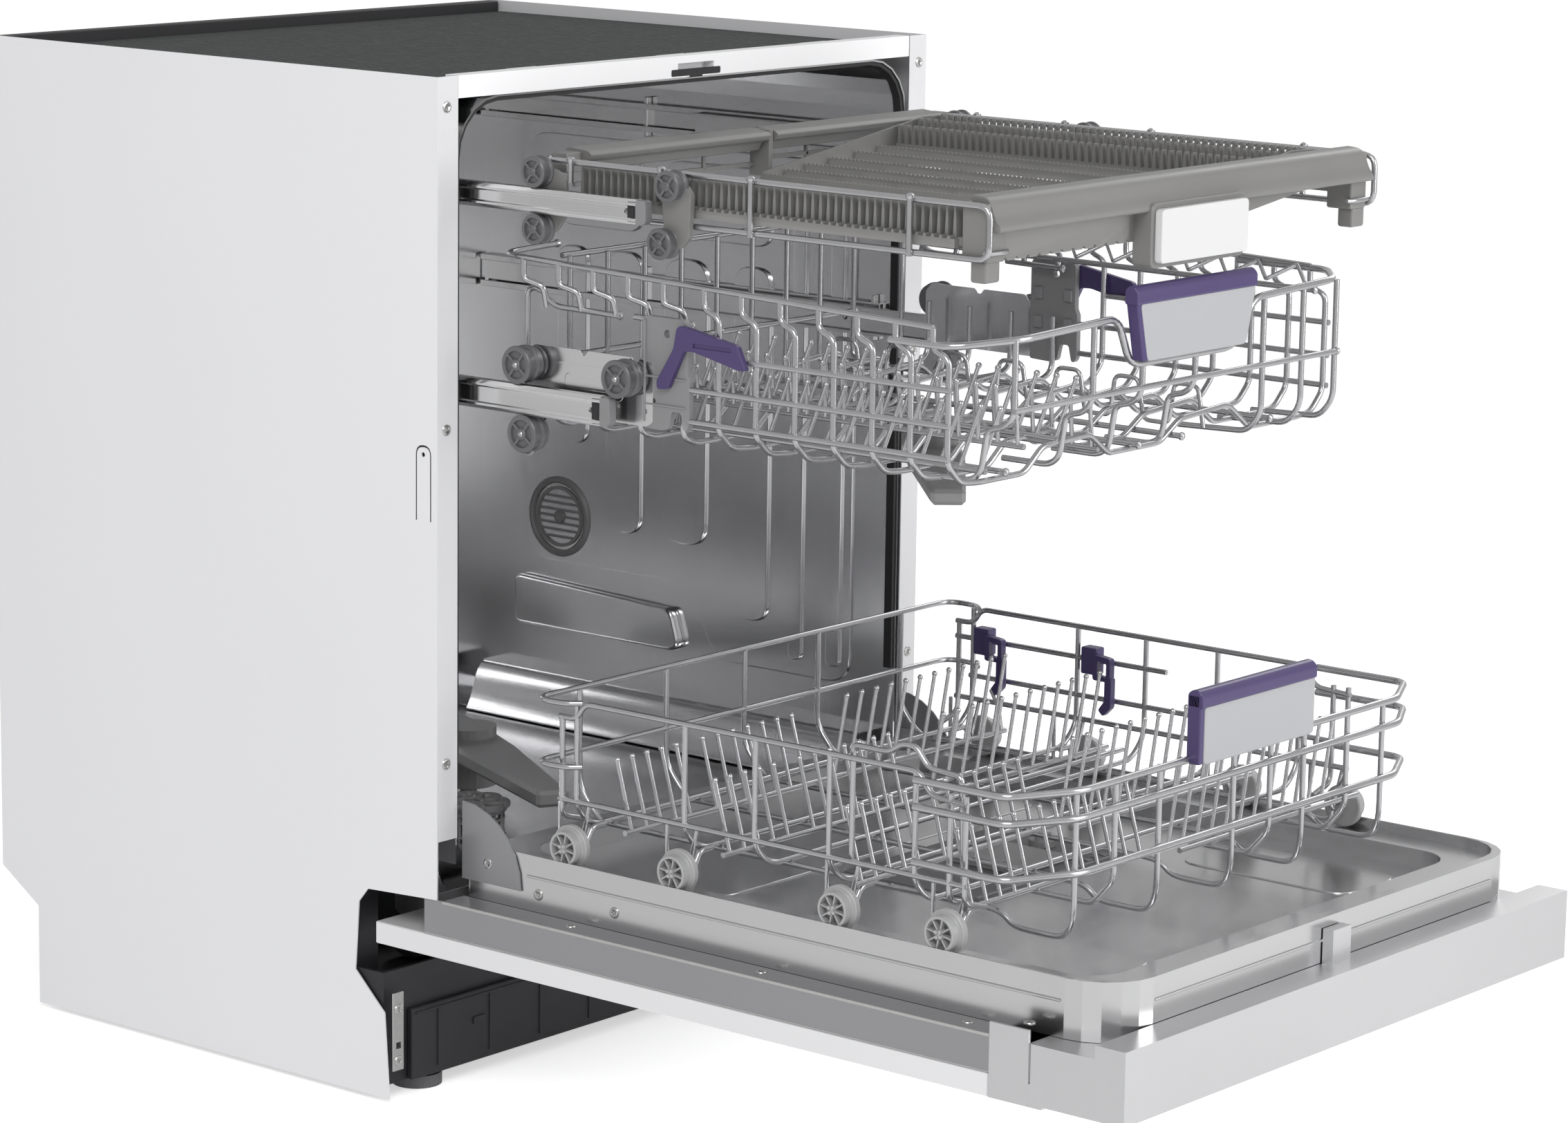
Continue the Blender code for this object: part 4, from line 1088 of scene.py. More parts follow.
for k in range(9):
    x = -0.176 + 0.044 * k
    upper_runs.append(run([(x, -0.024, 0.671), (x, -0.024, FLOOR + 0.008),
                           (x, -0.034, FLOOR + 0.004), (x, -0.062, FLOOR + 0.004)]))
for x, top in ((-0.203, 0.655), (-0.108, 0.657), (-0.046, 0.6225), (0.022, 0.6225)):
    upper_runs.append(run([(x, FACE + 0.002, top), (x, FACE + 0.002, 0.600),
                           (x, FACE + 0.010, 0.591), (x, -0.452, 0.588), (x, -0.447, 0.556),
                           (x, -0.438, FLOOR), (x, -0.395, FLOOR)], bend=0.007))
for x, top in ((0.112, 0.657), (0.166, 0.659), (0.212, 0.660)):
    upper_runs.append(run([(x, FACE + 0.002, top), (x, FACE + 0.002, 0.566),
                           (x, FACE + 0.014, FLOOR + 0.002), (x, -0.400, FLOOR)], bend=0.008))
for x in (-0.185, -0.020, 0.036, 0.155):
    upper_runs.append(run([(x, -0.030, FLOOR + 0.006), (x, -0.458, FLOOR + 0.006)], bead=True))
print(len(upper_runs), "wires with the loops")

# %% [markdown]
# Two pairs of tine rows stand in the left half, leaning towards each other
# in a V, so that bowls and saucers stand between them. In the right half
# bent wires make low arches for cups and glasses, and a zig-zag wire
# stiffens the right wall.

# %% Upper rack tines
for x, lean in ((-0.196, 0.017), (-0.150, -0.013), (-0.104, 0.017), (-0.058, -0.013)):
    foot = 0.5555 if x < -0.15 or x > -0.07 else 0.568
    upper_runs.append(run([(x, -0.088, foot), (x, -0.446, foot)]))
    for k in range(20):
        depth = -0.098 - 0.018 * k
        upper_runs.append(run([(x, depth, foot), (x + lean, depth - 0.006, foot + 0.046)],
                              thickness=0.0034, bead=True))
for x, rise in ((0.090, 0.032),):
    arches = [(x, -0.070, FLOOR + 0.004)]
    for k in range(7):
        depth = -0.070 - 0.056 * k
        arches += [(x, depth, FLOOR + 0.004), (x, depth - 0.004, FLOOR + 0.004 + rise),
                   (x, depth - 0.026, FLOOR + 0.004 + rise), (x, depth - 0.032, FLOOR + 0.004)]
    upper_runs.append(run(arches, thickness=0.0036, bend=0.006))
zig = [(0.224 if k % 2 else EDGE - 0.002, -0.050 - 0.0185 * k, 0.652 if k % 2 else 0.664)
       for k in range(22)]
upper_runs.append(run(zig, thickness=0.0034, bend=0.002))
upper_runs.append(run([(0.221, -0.040, 0.650), (0.221, -0.452, 0.648)], bead=True))
upper_basket = place_piece(bundle(upper_runs), "upper_basket", wire_coat, "upper_rack_unit",
                           ["upper_rack"], 50)
print(len(upper_basket.data.polygons), "faces in the upper basket")

# %% [markdown]
# Its handle is like the lower one, but the plate narrows towards its lower
# edge, because it sits in the dip of the front wire.

# %% Upper handle
low, high = depth_box("upper_rack_handle")
upper_plate = handle_plate([(low.x + 0.006, high.z - 0.0125), (low.x + 0.0165, low.z),
                            (high.x - 0.011, low.z), (high.x, high.z - 0.0125)],
                           high.y - 0.003, low.y + 0.001)
place_piece(upper_plate, "upper_handle_plate", light_plastic, "upper_rack_unit",
            ["upper_rack_handle"])
cap_top = plate([(low.y - 0.0, high.z - 0.014), (high.y, high.z - 0.014), (high.y, high.z - 0.003),
                 (high.y - 0.004, high.z), (low.y + 0.004, high.z), (low.y, high.z - 0.004)],
                "x", low.x, high.x, 0.0012, radius=0.002, segments=3)
cap_edge = plate([(low.x, high.z - 0.004), (low.x + 0.0070, high.z - 0.004),
                  (low.x + 0.0180, low.z + 0.0005), (low.x + 0.0115, low.z + 0.0005)],
                 "y", low.y + 0.0016, high.y, 0.0012, segments=3)
cap_back = plate([(low.x + 0.004, high.z - 0.006), (low.x + 0.0145, low.z + 0.002),
                  (high.x - 0.013, low.z + 0.002), (high.x - 0.003, high.z - 0.006)],
                 "y", high.y - 0.0032, high.y, 0.0008)
place_piece(join([cap_top, cap_edge, cap_back]), "upper_handle_cap", violet_plastic,
            "upper_rack_unit")
print("upper handle in two colours")

# %% [markdown]
# ### Roller plates
#
# On each side a stainless plate carries three rollers that embrace the rail:
# two run on top of it and one below. The plate is stamped with a long bead
# and has notches where it was sheared. Rollers have a groove, four spokes
# and a bright rivet in the hub. The left set is modelled, and the right set
# is its mirror.

# %% Roller
low, high = depth_box("height_bracket_left")
ROLLER_X = low.x + 0.0068


def roller(depth, height, radius):
    """A grooved roller on the x axis with a spoked outer face."""
    c = Vector((ROLLER_X, depth, height))
    rim = turned([(radius * 0.30, -0.0044), (radius * 0.72, -0.0044), (radius * 0.74, -0.0064),
                  (radius - 0.0008, -0.0066), (radius, -0.0058), (radius, -0.0042),
                  (radius - 0.0016, -0.0030), (radius - 0.0016, 0.0030), (radius, 0.0042),
                  (radius, 0.0060), (radius - 0.0010, 0.0068), (radius * 0.30, 0.0068),
                  (radius * 0.30, -0.0044)], c, "x", 32)
    parts = [rim]
    parts.append(turned([(0, -0.0074), (radius * 0.24, -0.0074), (radius * 0.30, -0.0066),
                         (radius * 0.32, 0.0066), (0, 0.0066)], c, "x", 18))
    for k in range(4):
        spoke = block((c.x - 0.0064, c.y + radius * 0.24, c.z - 0.0010),
                      (c.x - 0.0040, c.y + radius * 0.78, c.z + 0.0010), 0.0003, 1)
        spoke.data.transform(Matrix.Translation(c)
                             @ Matrix.Rotation(math.radians(90 * k + 38), 4, "X")
                             @ Matrix.Translation(-c))
        parts.append(spoke)
    pin = turned([(0, -0.0082), (radius * 0.10, -0.0081), (radius * 0.15, -0.0074),
                  (radius * 0.15, -0.0070), (0, -0.0070)], c, "x", 14)
    return join(parts), pin


UPPER_ROLLERS = ((-0.050, 0.5982), (-0.151, 0.5982), (-0.056, 0.5458))
wheels, pins = [], []
for depth, height in UPPER_ROLLERS:
    body_part, pin_part = roller(depth, height, 0.0146)
    inner = turned([(0, 0.0080), (0.0120, 0.0080), (0.0132, 0.0092), (0.0132, 0.0112),
                    (0.0120, 0.0122), (0, 0.0122), (0, 0.0080)],
                   (ROLLER_X, depth, height), "x", 32)
    wheels.append(inner)
    wheels.append(body_part)
    pins.append(pin_part)
upper_rollers, upper_pins = join(wheels), join(pins)
print("three rollers of", len(upper_rollers.data.polygons), "faces")

# %% Roller plate and bracket
plate_x = ROLLER_X + 0.0126
sheet = plate([(-0.046, 0.564), (-0.046, 0.606), (-0.052, 0.613), (-0.098, 0.613),
               (-0.1005, 0.609), (-0.1040, 0.609), (-0.1065, 0.613), (-0.150, 0.613),
               (-0.1525, 0.609), (-0.156, 0.609), (-0.1585, 0.613), (-0.172, 0.611),
               (-0.172, 0.566), (-0.166, 0.562), (-0.068, 0.562), (-0.052, 0.535),
               (-0.046, 0.540)], "x", plate_x, plate_x + 0.0012, 0.0003, radius=0.002)
bead = plate([(-0.084, 0.583), (-0.084, 0.595), (-0.132, 0.595), (-0.132, 0.583)], "x",
             plate_x - 0.0016, plate_x + 0.0008, 0.0014, radius=0.0058, segments=3)
rim_bead = plate([(-0.070, 0.577), (-0.070, 0.602), (-0.144, 0.602), (-0.144, 0.577)], "x",
                 plate_x - 0.0007, plate_x + 0.0006, 0.0006, radius=0.010)
hole = plate([(-0.1625, 0.5715), (-0.1625, 0.5755), (-0.1665, 0.5755), (-0.1665, 0.5715)], "x",
             plate_x - 0.003, plate_x + 0.003, 0, radius=0.0018)
carve(sheet, hole)
roller_sheet = join([sheet, bead, rim_bead])
bracket = plate([(-0.159, 0.5615), (-0.159, 0.642), (-0.163, 0.646), (-0.200, 0.646),
                 (-0.2045, 0.642),
                 (-0.2045, 0.606), (-0.207, 0.602), (-0.207, 0.566), (-0.2045, 0.5625),
                 (-0.2015, 0.5625), (-0.1985, 0.576), (-0.190, 0.576), (-0.187, 0.5625),
                 (-0.180, 0.5605)], "x", plate_x + 0.0006, -0.2408, 0.0010,
                radius=0.0025, segments=2)
for spot, size in (((-0.1850, 0.634), 0.0032), ((-0.1720, 0.582), 0.0024)):
    depth, height = spot
    carve(bracket, turned([(0, -0.02), (size, -0.02), (size, 0.02), (0, 0.02), (0, -0.02)],
                          (plate_x, depth, height), "x", 18))
ribs = [block((plate_x - 0.0006, -0.2035, z), (plate_x + 0.0016, -0.1620, z + 0.0016), 0.0005, 1)
        for z in (0.5790, 0.6000)]
ribs.append(block((plate_x - 0.0010, -0.1645, 0.566), (plate_x + 0.0016, -0.1627, 0.6430),
                  0.0005, 1))
snaps = [block((-0.2424, y - 0.004, z), (-0.2384, y + 0.004, z + 0.010), 0.001)
         for y in (-0.168, -0.198) for z in (0.588, 0.612)]
hook = bundle([run([(ROLLER_X, -0.063, 0.5335), (ROLLER_X - 0.0010, -0.061, 0.5300),
                    (ROLLER_X, -0.052, 0.5300), (ROLLER_X, -0.047, 0.5345)], thickness=0.003,
                   bend=0.004)])
height_bracket = join([bracket, hook] + ribs + snaps)
lever_low, lever_high = depth_box("height_lever_left")
lever = plate([(-0.1800, 0.5925), (-0.1790, 0.5985), (-0.1955, 0.6245), (-0.1985, 0.6405),
               (-0.2030, 0.6425), (-0.2570, 0.6330), (-0.2660, 0.6150), (-0.2590, 0.6145),
               (-0.2150, 0.6240), (-0.2050, 0.6235), (-0.1900, 0.5935)], "x", lever_low.x,
              lever_high.x, 0.0010, radius=0.0025, segments=3)
carve(lever, block((lever_low.x - 0.002, -0.2520, 0.6272), (lever_low.x + 0.0010, -0.2150, 0.6305),
                   0))
print("bracket and lever of", len(height_bracket.data.polygons), "faces")

# %% Place both roller sets
for side, word in ((1, "left"), (-1, "right")):
    other = side < 0
    rider = "upper_rack_unit"
    place_piece(copy_of(roller_sheet, mirror=other), "roller_plate_" + word, tub_steel, rider)
    place_piece(copy_of(height_bracket, mirror=other), "rack_bracket_" + word, bracket_plastic,
                rider, ["height_bracket_" + word])
    place_piece(copy_of(upper_rollers, mirror=other), "rack_rollers_" + word, roller_plastic,
                rider)
    place_piece(copy_of(upper_pins, mirror=other), "rack_rivets_" + word, screw_steel, rider)
    place_piece(copy_of(lever, mirror=other), "rack_lever_" + word, violet_plastic,
                "lever_" + word, ["height_lever_" + word])
for pattern in (roller_sheet, height_bracket, upper_rollers, upper_pins, lever):
    bpy.data.objects.remove(pattern, do_unlink=True)
print("roller sets on both sides")
# %% [markdown]
# ## The cutlery tray
#
# The tray is a wire frame with grey mouldings in it. The wire runs round the
# rim, turns down at the front corners and comes back below, and short posts
# are welded across the two levels. It is drawn as one long bent wire.

# %% Tray frame
tray_high = depth_box("cutlery_tray")[1]
RAIL_SIDE = 0.2475
UPPER_WIRE, LOWER_WIRE = tray_high.z - 0.0075, 0.7165
NOSE_WIRE = -0.4835
tray_runs = []
rim_line = [(-RAIL_SIDE, -0.100, LOWER_WIRE), (-RAIL_SIDE, NOSE_WIRE, LOWER_WIRE),
            (-RAIL_SIDE, NOSE_WIRE, UPPER_WIRE), (-RAIL_SIDE, -0.060, UPPER_WIRE)]
rim_line += [(-x, y, z) for x, y, z in reversed(rim_line)]
tray_runs.append(run(rim_line, thickness=0.0048, bend=0.010))
for side in (-1, 1):
    for depth, foot in ((-0.092, 0.7395), (-0.182, 0.7480), (-0.268, 0.7140), (-0.415, 0.7140)):
        tray_runs.append(run([(side * (RAIL_SIDE + 0.0036), depth, foot),
                              (side * (RAIL_SIDE + 0.0036), depth, UPPER_WIRE + 0.0045)],
                             thickness=0.0048, bead=True))
    tray_runs.append(run([(side * RAIL_SIDE, NOSE_WIRE + 0.004, 0.7205),
                          (side * 0.226, NOSE_WIRE + 0.003, 0.7205),
                          (side * 0.219, NOSE_WIRE + 0.006, 0.7205)], thickness=0.004))
tray_frame = place_piece(bundle(tray_runs), "tray_frame", wire_coat, "cutlery_tray_unit",
                         ["cutlery_tray"], 50)
print(len(tray_frame.data.polygons), "faces in the frame")

# %% [markdown]
# The front bar is a long moulding with one profile: a flat top, a chamfer, a
# sloping face and a rolled lower lip. Below it hang two end blocks, a front
# panel on the left, and in the middle the frame of the grip.

# %% Front bar
bar = plate([(-0.4610, 0.7612), (-0.4735, 0.7602), (-0.4785, 0.7572), (-0.4835, 0.7450),
             (-0.4880, 0.7400), (-0.4880, 0.7365), (-0.4845, 0.7350), (-0.4790, 0.7362),
             (-0.4745, 0.7440), (-0.4700, 0.7540), (-0.4610, 0.7560)], "x", -0.2405, 0.2405,
            0.0012, radius=0.0035, segments=3)
front_parts = [bar]
for side in (-1, 1):
    inner, outer = sorted((side * 0.2225, side * 0.2440))
    front_parts.append(block((inner, -0.4790, 0.7135), (outer, -0.4560, 0.7560), 0.0018, 3))
    front_parts.append(block((min(side * 0.2265, side * 0.2440), -0.4780, 0.6990),
                             (max(side * 0.2265, side * 0.2440), -0.4640, 0.7150), 0.0022, 3))
teeth = [(-0.224, 0.7150)]
for k in range(12):
    x = -0.215 + 0.0135 * k
    teeth += [(x, 0.7150), (x + 0.0015, 0.7130), (x + 0.0100, 0.7130), (x + 0.0115, 0.7150)]
teeth += [(-0.050, 0.7150), (-0.050, 0.7345), (-0.224, 0.7375)]
front_parts.append(plate(teeth, "y", -0.4740, -0.4705))
slope = [(0.052, 0.7180), (0.205, 0.7385), (0.205, 0.7440), (0.052, 0.7440)]
front_parts.append(plate(slope, "y", -0.4740, -0.4705, 0.0004))
grip_frame = plate([(-0.0605, 0.6940), (0.0605, 0.6940), (0.0605, 0.7420), (-0.0605, 0.7420)], "y",
                   -0.4902, -0.4730, 0.0012, radius=0.006, segments=3)
front_parts.append(grip_frame)
place_piece(join(front_parts), "tray_front_bar", tray_plastic, "cutlery_tray_unit")
grip_low, grip_high = depth_box("tray_handle")
grip = plate([(grip_low.x, grip_low.z), (grip_high.x, grip_low.z), (grip_high.x, grip_high.z),
              (grip_low.x, grip_high.z)], "y", grip_low.y + 0.0002, -0.4898, 0.0010, radius=0.004,
             segments=3)
place_piece(grip, "tray_grip_plate", plate_white, "cutlery_tray_unit", ["tray_handle"])
print("front bar and grip")

# %% [markdown]
# Knives and forks lie between teeth. A row of teeth is one long outline that
# goes up and down, pushed sideways by the thickness of the row. The big
# teeth stand along the walls, and small serrations run along the top of the
# slats in the middle.

# %% Comb rows


def comb(x, wide, start, stop, foot, root, tip, pitch=0.0072, slim=0.0010):
    """A toothed wall along y: foot is its lower edge, root and tip the tooth."""
    line = [(start, foot), (start, root)]
    count = int((start - stop) / pitch)
    for k in range(count):
        y = start - 0.0015 - pitch * k
        line += [(y, root), (y - slim, tip), (y - 2.4 * slim, tip), (y - 3.4 * slim, root)]
    line += [(stop, root), (stop, foot)]
    return plate(line, "x", x, x + wide)


combs = [comb(-0.2415, 0.0080, -0.092, -0.455, 0.7245, 0.7300, 0.7520),
         comb(-0.2330, 0.0030, -0.092, -0.455, 0.7245, 0.7340, 0.7500),
         comb(-0.2468, 0.0050, -0.105, -0.452, 0.7225, 0.7290, 0.7312)]
for x, foot, tip in ((0.140, 0.7380, 0.7565), (0.166, 0.7400, 0.7600), (0.196, 0.7420, 0.7615)):
    combs.append(comb(x, 0.0055, -0.094, -0.448, foot, foot + 0.0035, tip, slim=0.0012))
    combs.append(block((x - 0.010, -0.450, foot), (x + 0.014, -0.092, foot + 0.0016), 0.0003, 1))
combs.append(comb(0.2360, 0.0050, -0.100, -0.455, 0.7245, 0.7320, 0.7520))
for k, x in enumerate((-0.022, 0.000, 0.025, 0.055, 0.088, 0.116)):
    height = 0.7275 + 0.0026 * k
    combs.append(comb(x, 0.0013, -0.094, -0.448, height - 0.0060, height, height + 0.0014,
                      0.0042, 0.0010))
for k, depth in enumerate((-0.150, -0.205, -0.262, -0.320, -0.378)):
    combs.append(plate([(-0.024, 0.7215), (0.200, 0.7355), (0.200, 0.7385), (-0.024, 0.7245)], "y",
                       depth - 0.0015, depth, 0.0))
comb_rows = place_piece(join(combs), "tray_combs", tray_plastic, "cutlery_tray_unit",
                        ["tray_insert"], 20)
print(len(comb_rows.data.polygons), "faces in the combs")

# %% [markdown]
# At the back two trough-shaped beams close the frame, with a gap between
# them where the divider stands. The rear wall of the sloping bed climbs to
# the right, and so does its front wall.

# %% Beams and walls
trough = [(-0.0615, 0.7440), (-0.0615, 0.7560), (-0.0565, 0.7600), (-0.0600, 0.7618),
          (-0.0790, 0.7600), (-0.0835, 0.7570), (-0.0800, 0.7530), (-0.0735, 0.7510),
          (-0.0700, 0.7440)]
walls = []
for start, stop in ((-0.2180, -0.0045), (0.0035, 0.2180)):
    beam = plate(trough, "x", start, stop, 0.0007, radius=0.0015, segments=2)
    walls.append(beam)
walls.append(block((-0.2360, -0.0740, 0.7440), (-0.2160, -0.0580, 0.7590), 0.0012))
walls.append(block((0.2160, -0.0740, 0.7440), (0.2360, -0.0580, 0.7590), 0.0012))
walls.append(block((-0.0030, -0.0790, 0.7240), (0.0020, -0.0590, 0.7610), 0.0006))
walls.append(block((0.0020, -0.0640, 0.7350), (0.2150, -0.0610, 0.7385), 0.0005))
walls.append(block((-0.2150, -0.0640, 0.7310), (-0.0030, -0.0610, 0.7345), 0.0005))
for x in (-0.150, -0.065, 0.062, 0.140):
    walls.append(block((x, -0.0640, 0.7330), (x + 0.0028, -0.0610, 0.7460), 0.0005, 1))
for low_y, high_y in ((-0.0930, -0.0905), (-0.4520, -0.4495)):
    walls.append(plate([(-0.026, 0.7210), (0.208, 0.7360), (0.208, 0.7600), (0.178, 0.7605),
                        (-0.026, 0.7305)], "y", low_y, high_y, 0.0006))
walls.append(block((-0.0275, -0.4520, 0.7210), (-0.0255, -0.0905, 0.7290), 0.0004))
walls.append(block((-0.2330, -0.4520, 0.7225), (-0.2150, -0.0905, 0.7245), 0.0005))
for side in (-1, 1):
    back = plate([(-0.1900, 0.7000), (-0.2050, 0.7000), (-0.2130, 0.7080), (-0.2150, 0.7400),
                  (-0.2090, 0.7475), (-0.1850, 0.7475)], "x", -0.2560, -0.2505, 0.0010,
                 radius=0.003)
    rear = plate([(-0.0560, 0.7010), (-0.0800, 0.7010), (-0.0900, 0.7140), (-0.0900, 0.7400),
                  (-0.0800, 0.7490), (-0.0560, 0.7490)], "x", -0.2540, -0.2505, 0.0010,
                 radius=0.004)
    for part in (back, rear):
        if side > 0:
            part.data.transform(Matrix.Scale(-1, 4, (1, 0, 0)))
            part.data.flip_normals()
        walls.append(part)
place_piece(join(walls), "tray_walls", tray_plastic, "cutlery_tray_unit")
print("beams, divider and bed walls")

# %% Tray rollers
TRAY_ROLLERS = ((-0.066, 0.7466), (-0.199, 0.7466), (-0.067, 0.7034), (-0.192, 0.7034))
wheels, pins = [], []
for depth, height in TRAY_ROLLERS:
    body_part, pin_part = roller(depth, height, 0.0118)
    wheels.append(body_part)
    pins.append(pin_part)
tray_rollers, tray_pins = join(wheels), join(pins)
for side, word in ((1, "left"), (-1, "right")):
    place_piece(copy_of(tray_rollers, mirror=side < 0), "tray_rollers_" + word, roller_plastic,
                "cutlery_tray_unit")
    place_piece(copy_of(tray_pins, mirror=side < 0), "tray_rivets_" + word, dark_plastic,
                "cutlery_tray_unit")
for pattern in (tray_rollers, tray_pins):
    bpy.data.objects.remove(pattern, do_unlink=True)
print("eight tray rollers")
# %% [markdown]
# ## The tub
#
# The tub's walls are stamped so that they ring less and drain well. A large
# panel is pressed a millimetre proud, with an S-shaped step in its lower
# edge, and upright beads with round ends stand on it. The tub solid stays,
# and the stampings are thin steel pads sunk into its inner face, which is
# how a relief is added to a wall that must keep its place.

# %% Wall relief
tub_high = depth_box("tub")[1]
WALL = tub_high.x - 0.0015
BACK = tub_high.y - 0.0015


def pad(outline, radius, proud, edge=0.0016):
    """A stamped pad on the right wall, from an outline in depth and height."""
    return plate(outline, "x", WALL - proud, WALL + 0.0006, edge, radius=radius,
                 segments=3, steps=5)


def upright(back, front, low, high, proud, radius=0.016):
    return pad([(back, low), (front, low), (front, high), (back, high)], radius, proud)


field = pad([(0.432, 0.312), (0.245, 0.312), (0.222, 0.286), (0.205, 0.248), (0.050, 0.248),
             (0.050, 0.703), (0.432, 0.703)], 0.026, 0.0024)
reliefs = [field]
for back, front, low, high in ((0.392, 0.356, 0.424, 0.604), (0.333, 0.291, 0.349, 0.604),
                               (0.265, 0.214, 0.348, 0.604), (0.184, 0.142, 0.290, 0.604)):
    reliefs.append(upright(back, front, low, high, 0.0054, (back - front) * 0.42))
for back, front in ((0.118, 0.103), (0.076, 0.060)):
    reliefs.append(upright(back, front, 0.262, 0.690, 0.0052, 0.0070))
for back, front, low, high in ((0.392, 0.291, 0.622, 0.690), (0.265, 0.142, 0.622, 0.690)):
    reliefs.append(upright(back, front, low, high, 0.0046, 0.018))
reliefs.append(pad([(0.440, 0.2500), (0.440, 0.2960), (0.250, 0.2880), (0.240, 0.2560),
                    (0.249, 0.2500)], 0.008, 0.0100, 0.0040))
reliefs.append(plate([(WALL + 0.0003, 0.2119), (WALL - 0.0186, 0.2119), (WALL - 0.0235, 0.2095),
                      (WALL - 0.0285, 0.2040), (WALL - 0.0325, 0.1955), (WALL - 0.0360, 0.1840),
                      (WALL - 0.0405, 0.1740), (WALL - 0.0450, 0.1684), (WALL + 0.0003, 0.1684)],
                     "y", 0.026, 0.468, 0.0006, radius=0.006, steps=5))
right_reliefs = join(reliefs)
left_reliefs = copy_of(right_reliefs, mirror=True)
place_piece(right_reliefs, "right_wall_relief", tub_steel, "cabinet", angle=40)
place_piece(left_reliefs, "left_wall_relief", tub_steel, "cabinet", angle=40)
print("stampings on both walls")

# %% [markdown]
# The back wall has its own panel and beads, and so has the ceiling, where
# the beads run from front to back.

# %% Back and ceiling relief
back_parts = [plate([(-0.222, 0.356), (0.222, 0.356), (0.222, 0.712), (-0.222, 0.712)], "y",
                    BACK - 0.0013, BACK + 0.0006, 0.0008, radius=0.030, segments=3, steps=5)]
for k in range(6):
    x = -0.185 + 0.074 * k
    back_parts.append(plate([(x - 0.016, 0.372), (x + 0.016, 0.372), (x + 0.016, 0.690),
                             (x - 0.016, 0.690)], "y", BACK - 0.0034, BACK, 0.0010,
                            radius=0.0140, segments=3, steps=5))
ceiling = tub_high.z - 0.0015
for k in range(5):
    x = -0.176 + 0.088 * k
    back_parts.append(plate([(x - 0.015, 0.060), (x + 0.015, 0.060), (x + 0.015, 0.440),
                             (x - 0.015, 0.440)], "z", ceiling - 0.0018, ceiling + 0.0006,
                            0.0008, radius=0.0120, segments=3, steps=5))
place_piece(join(back_parts), "back_and_ceiling_relief", tub_steel, "cabinet", angle=40)
print("back wall and ceiling stamped")

# %% [markdown]
# The round vent on the right wall is a grey grille: a stepped ring, slats
# across it and a small hub with clips. The fixed halves of the slides are
# steel channels, with a hook and a stud where they hang on the wall.

# %% Vent grille
low, high = depth_box("wall_vent")
vent = Vector((high.x, (low.y + high.y) / 2, (low.z + high.z) / 2))
size = (high.z - low.z) / 2
ring = turned([(size - 0.0062, 0.0), (size, 0.0), (size, -0.0030), (size - 0.0020, -0.0052),
               (size - 0.0044, -0.0056), (size - 0.0062, -0.0040), (size - 0.0062, 0.0)],
              vent, "x", 48)
inner_ring = turned([(size - 0.0120, 0.0), (size - 0.0090, 0.0), (size - 0.0090, -0.0034),
                     (size - 0.0120, -0.0034), (size - 0.0120, 0.0)], vent, "x", 48)
grille = [ring, inner_ring,
          turned([(0, -0.0010), (size - 0.005, -0.0010), (size - 0.005, 0.0), (0, 0.0),
                  (0, -0.0010)], vent, "x", 48)]
for k in range(-3, 4):
    reach = math.sqrt(max((size - 0.011) ** 2 - (0.0062 * k) ** 2, 0.0001)) - 0.0005
    grille.append(block((vent.x - 0.0036, vent.y - reach, vent.z + 0.0062 * k - 0.0011),
                        (vent.x - 0.0004, vent.y + reach, vent.z + 0.0062 * k + 0.0011), 0.0005, 1))
for k in range(8):
    angle = math.radians(45 * k + 10)
    spot = Vector((vent.x - 0.0050, vent.y + math.cos(angle) * (size - 0.0034),
                   vent.z + math.sin(angle) * (size - 0.0034)))
    grille.append(turned([(0, -0.0009), (0.0014, -0.0008), (0.0018, 0.0010), (0, 0.0010)],
                         spot, "x", 10))
grille.append(turned([(0, -0.0050), (0.0052, -0.0048), (0.0060, -0.0034), (0.0060, 0.0),
                      (0, 0.0)], vent, "x", 20))
place_piece(join(grille), "vent_grille", grey_plastic, "cabinet", ["wall_vent"])
print("grille with", 7, "slats")

# %% [markdown]
# ### Slides
#
# A slide is a channel of rolled steel. The moving member is a C section:
# a bright web with two lips that turn in. Its front end has a black clip
# and a grey stop, and a small round hole just behind them.

# %% Slides


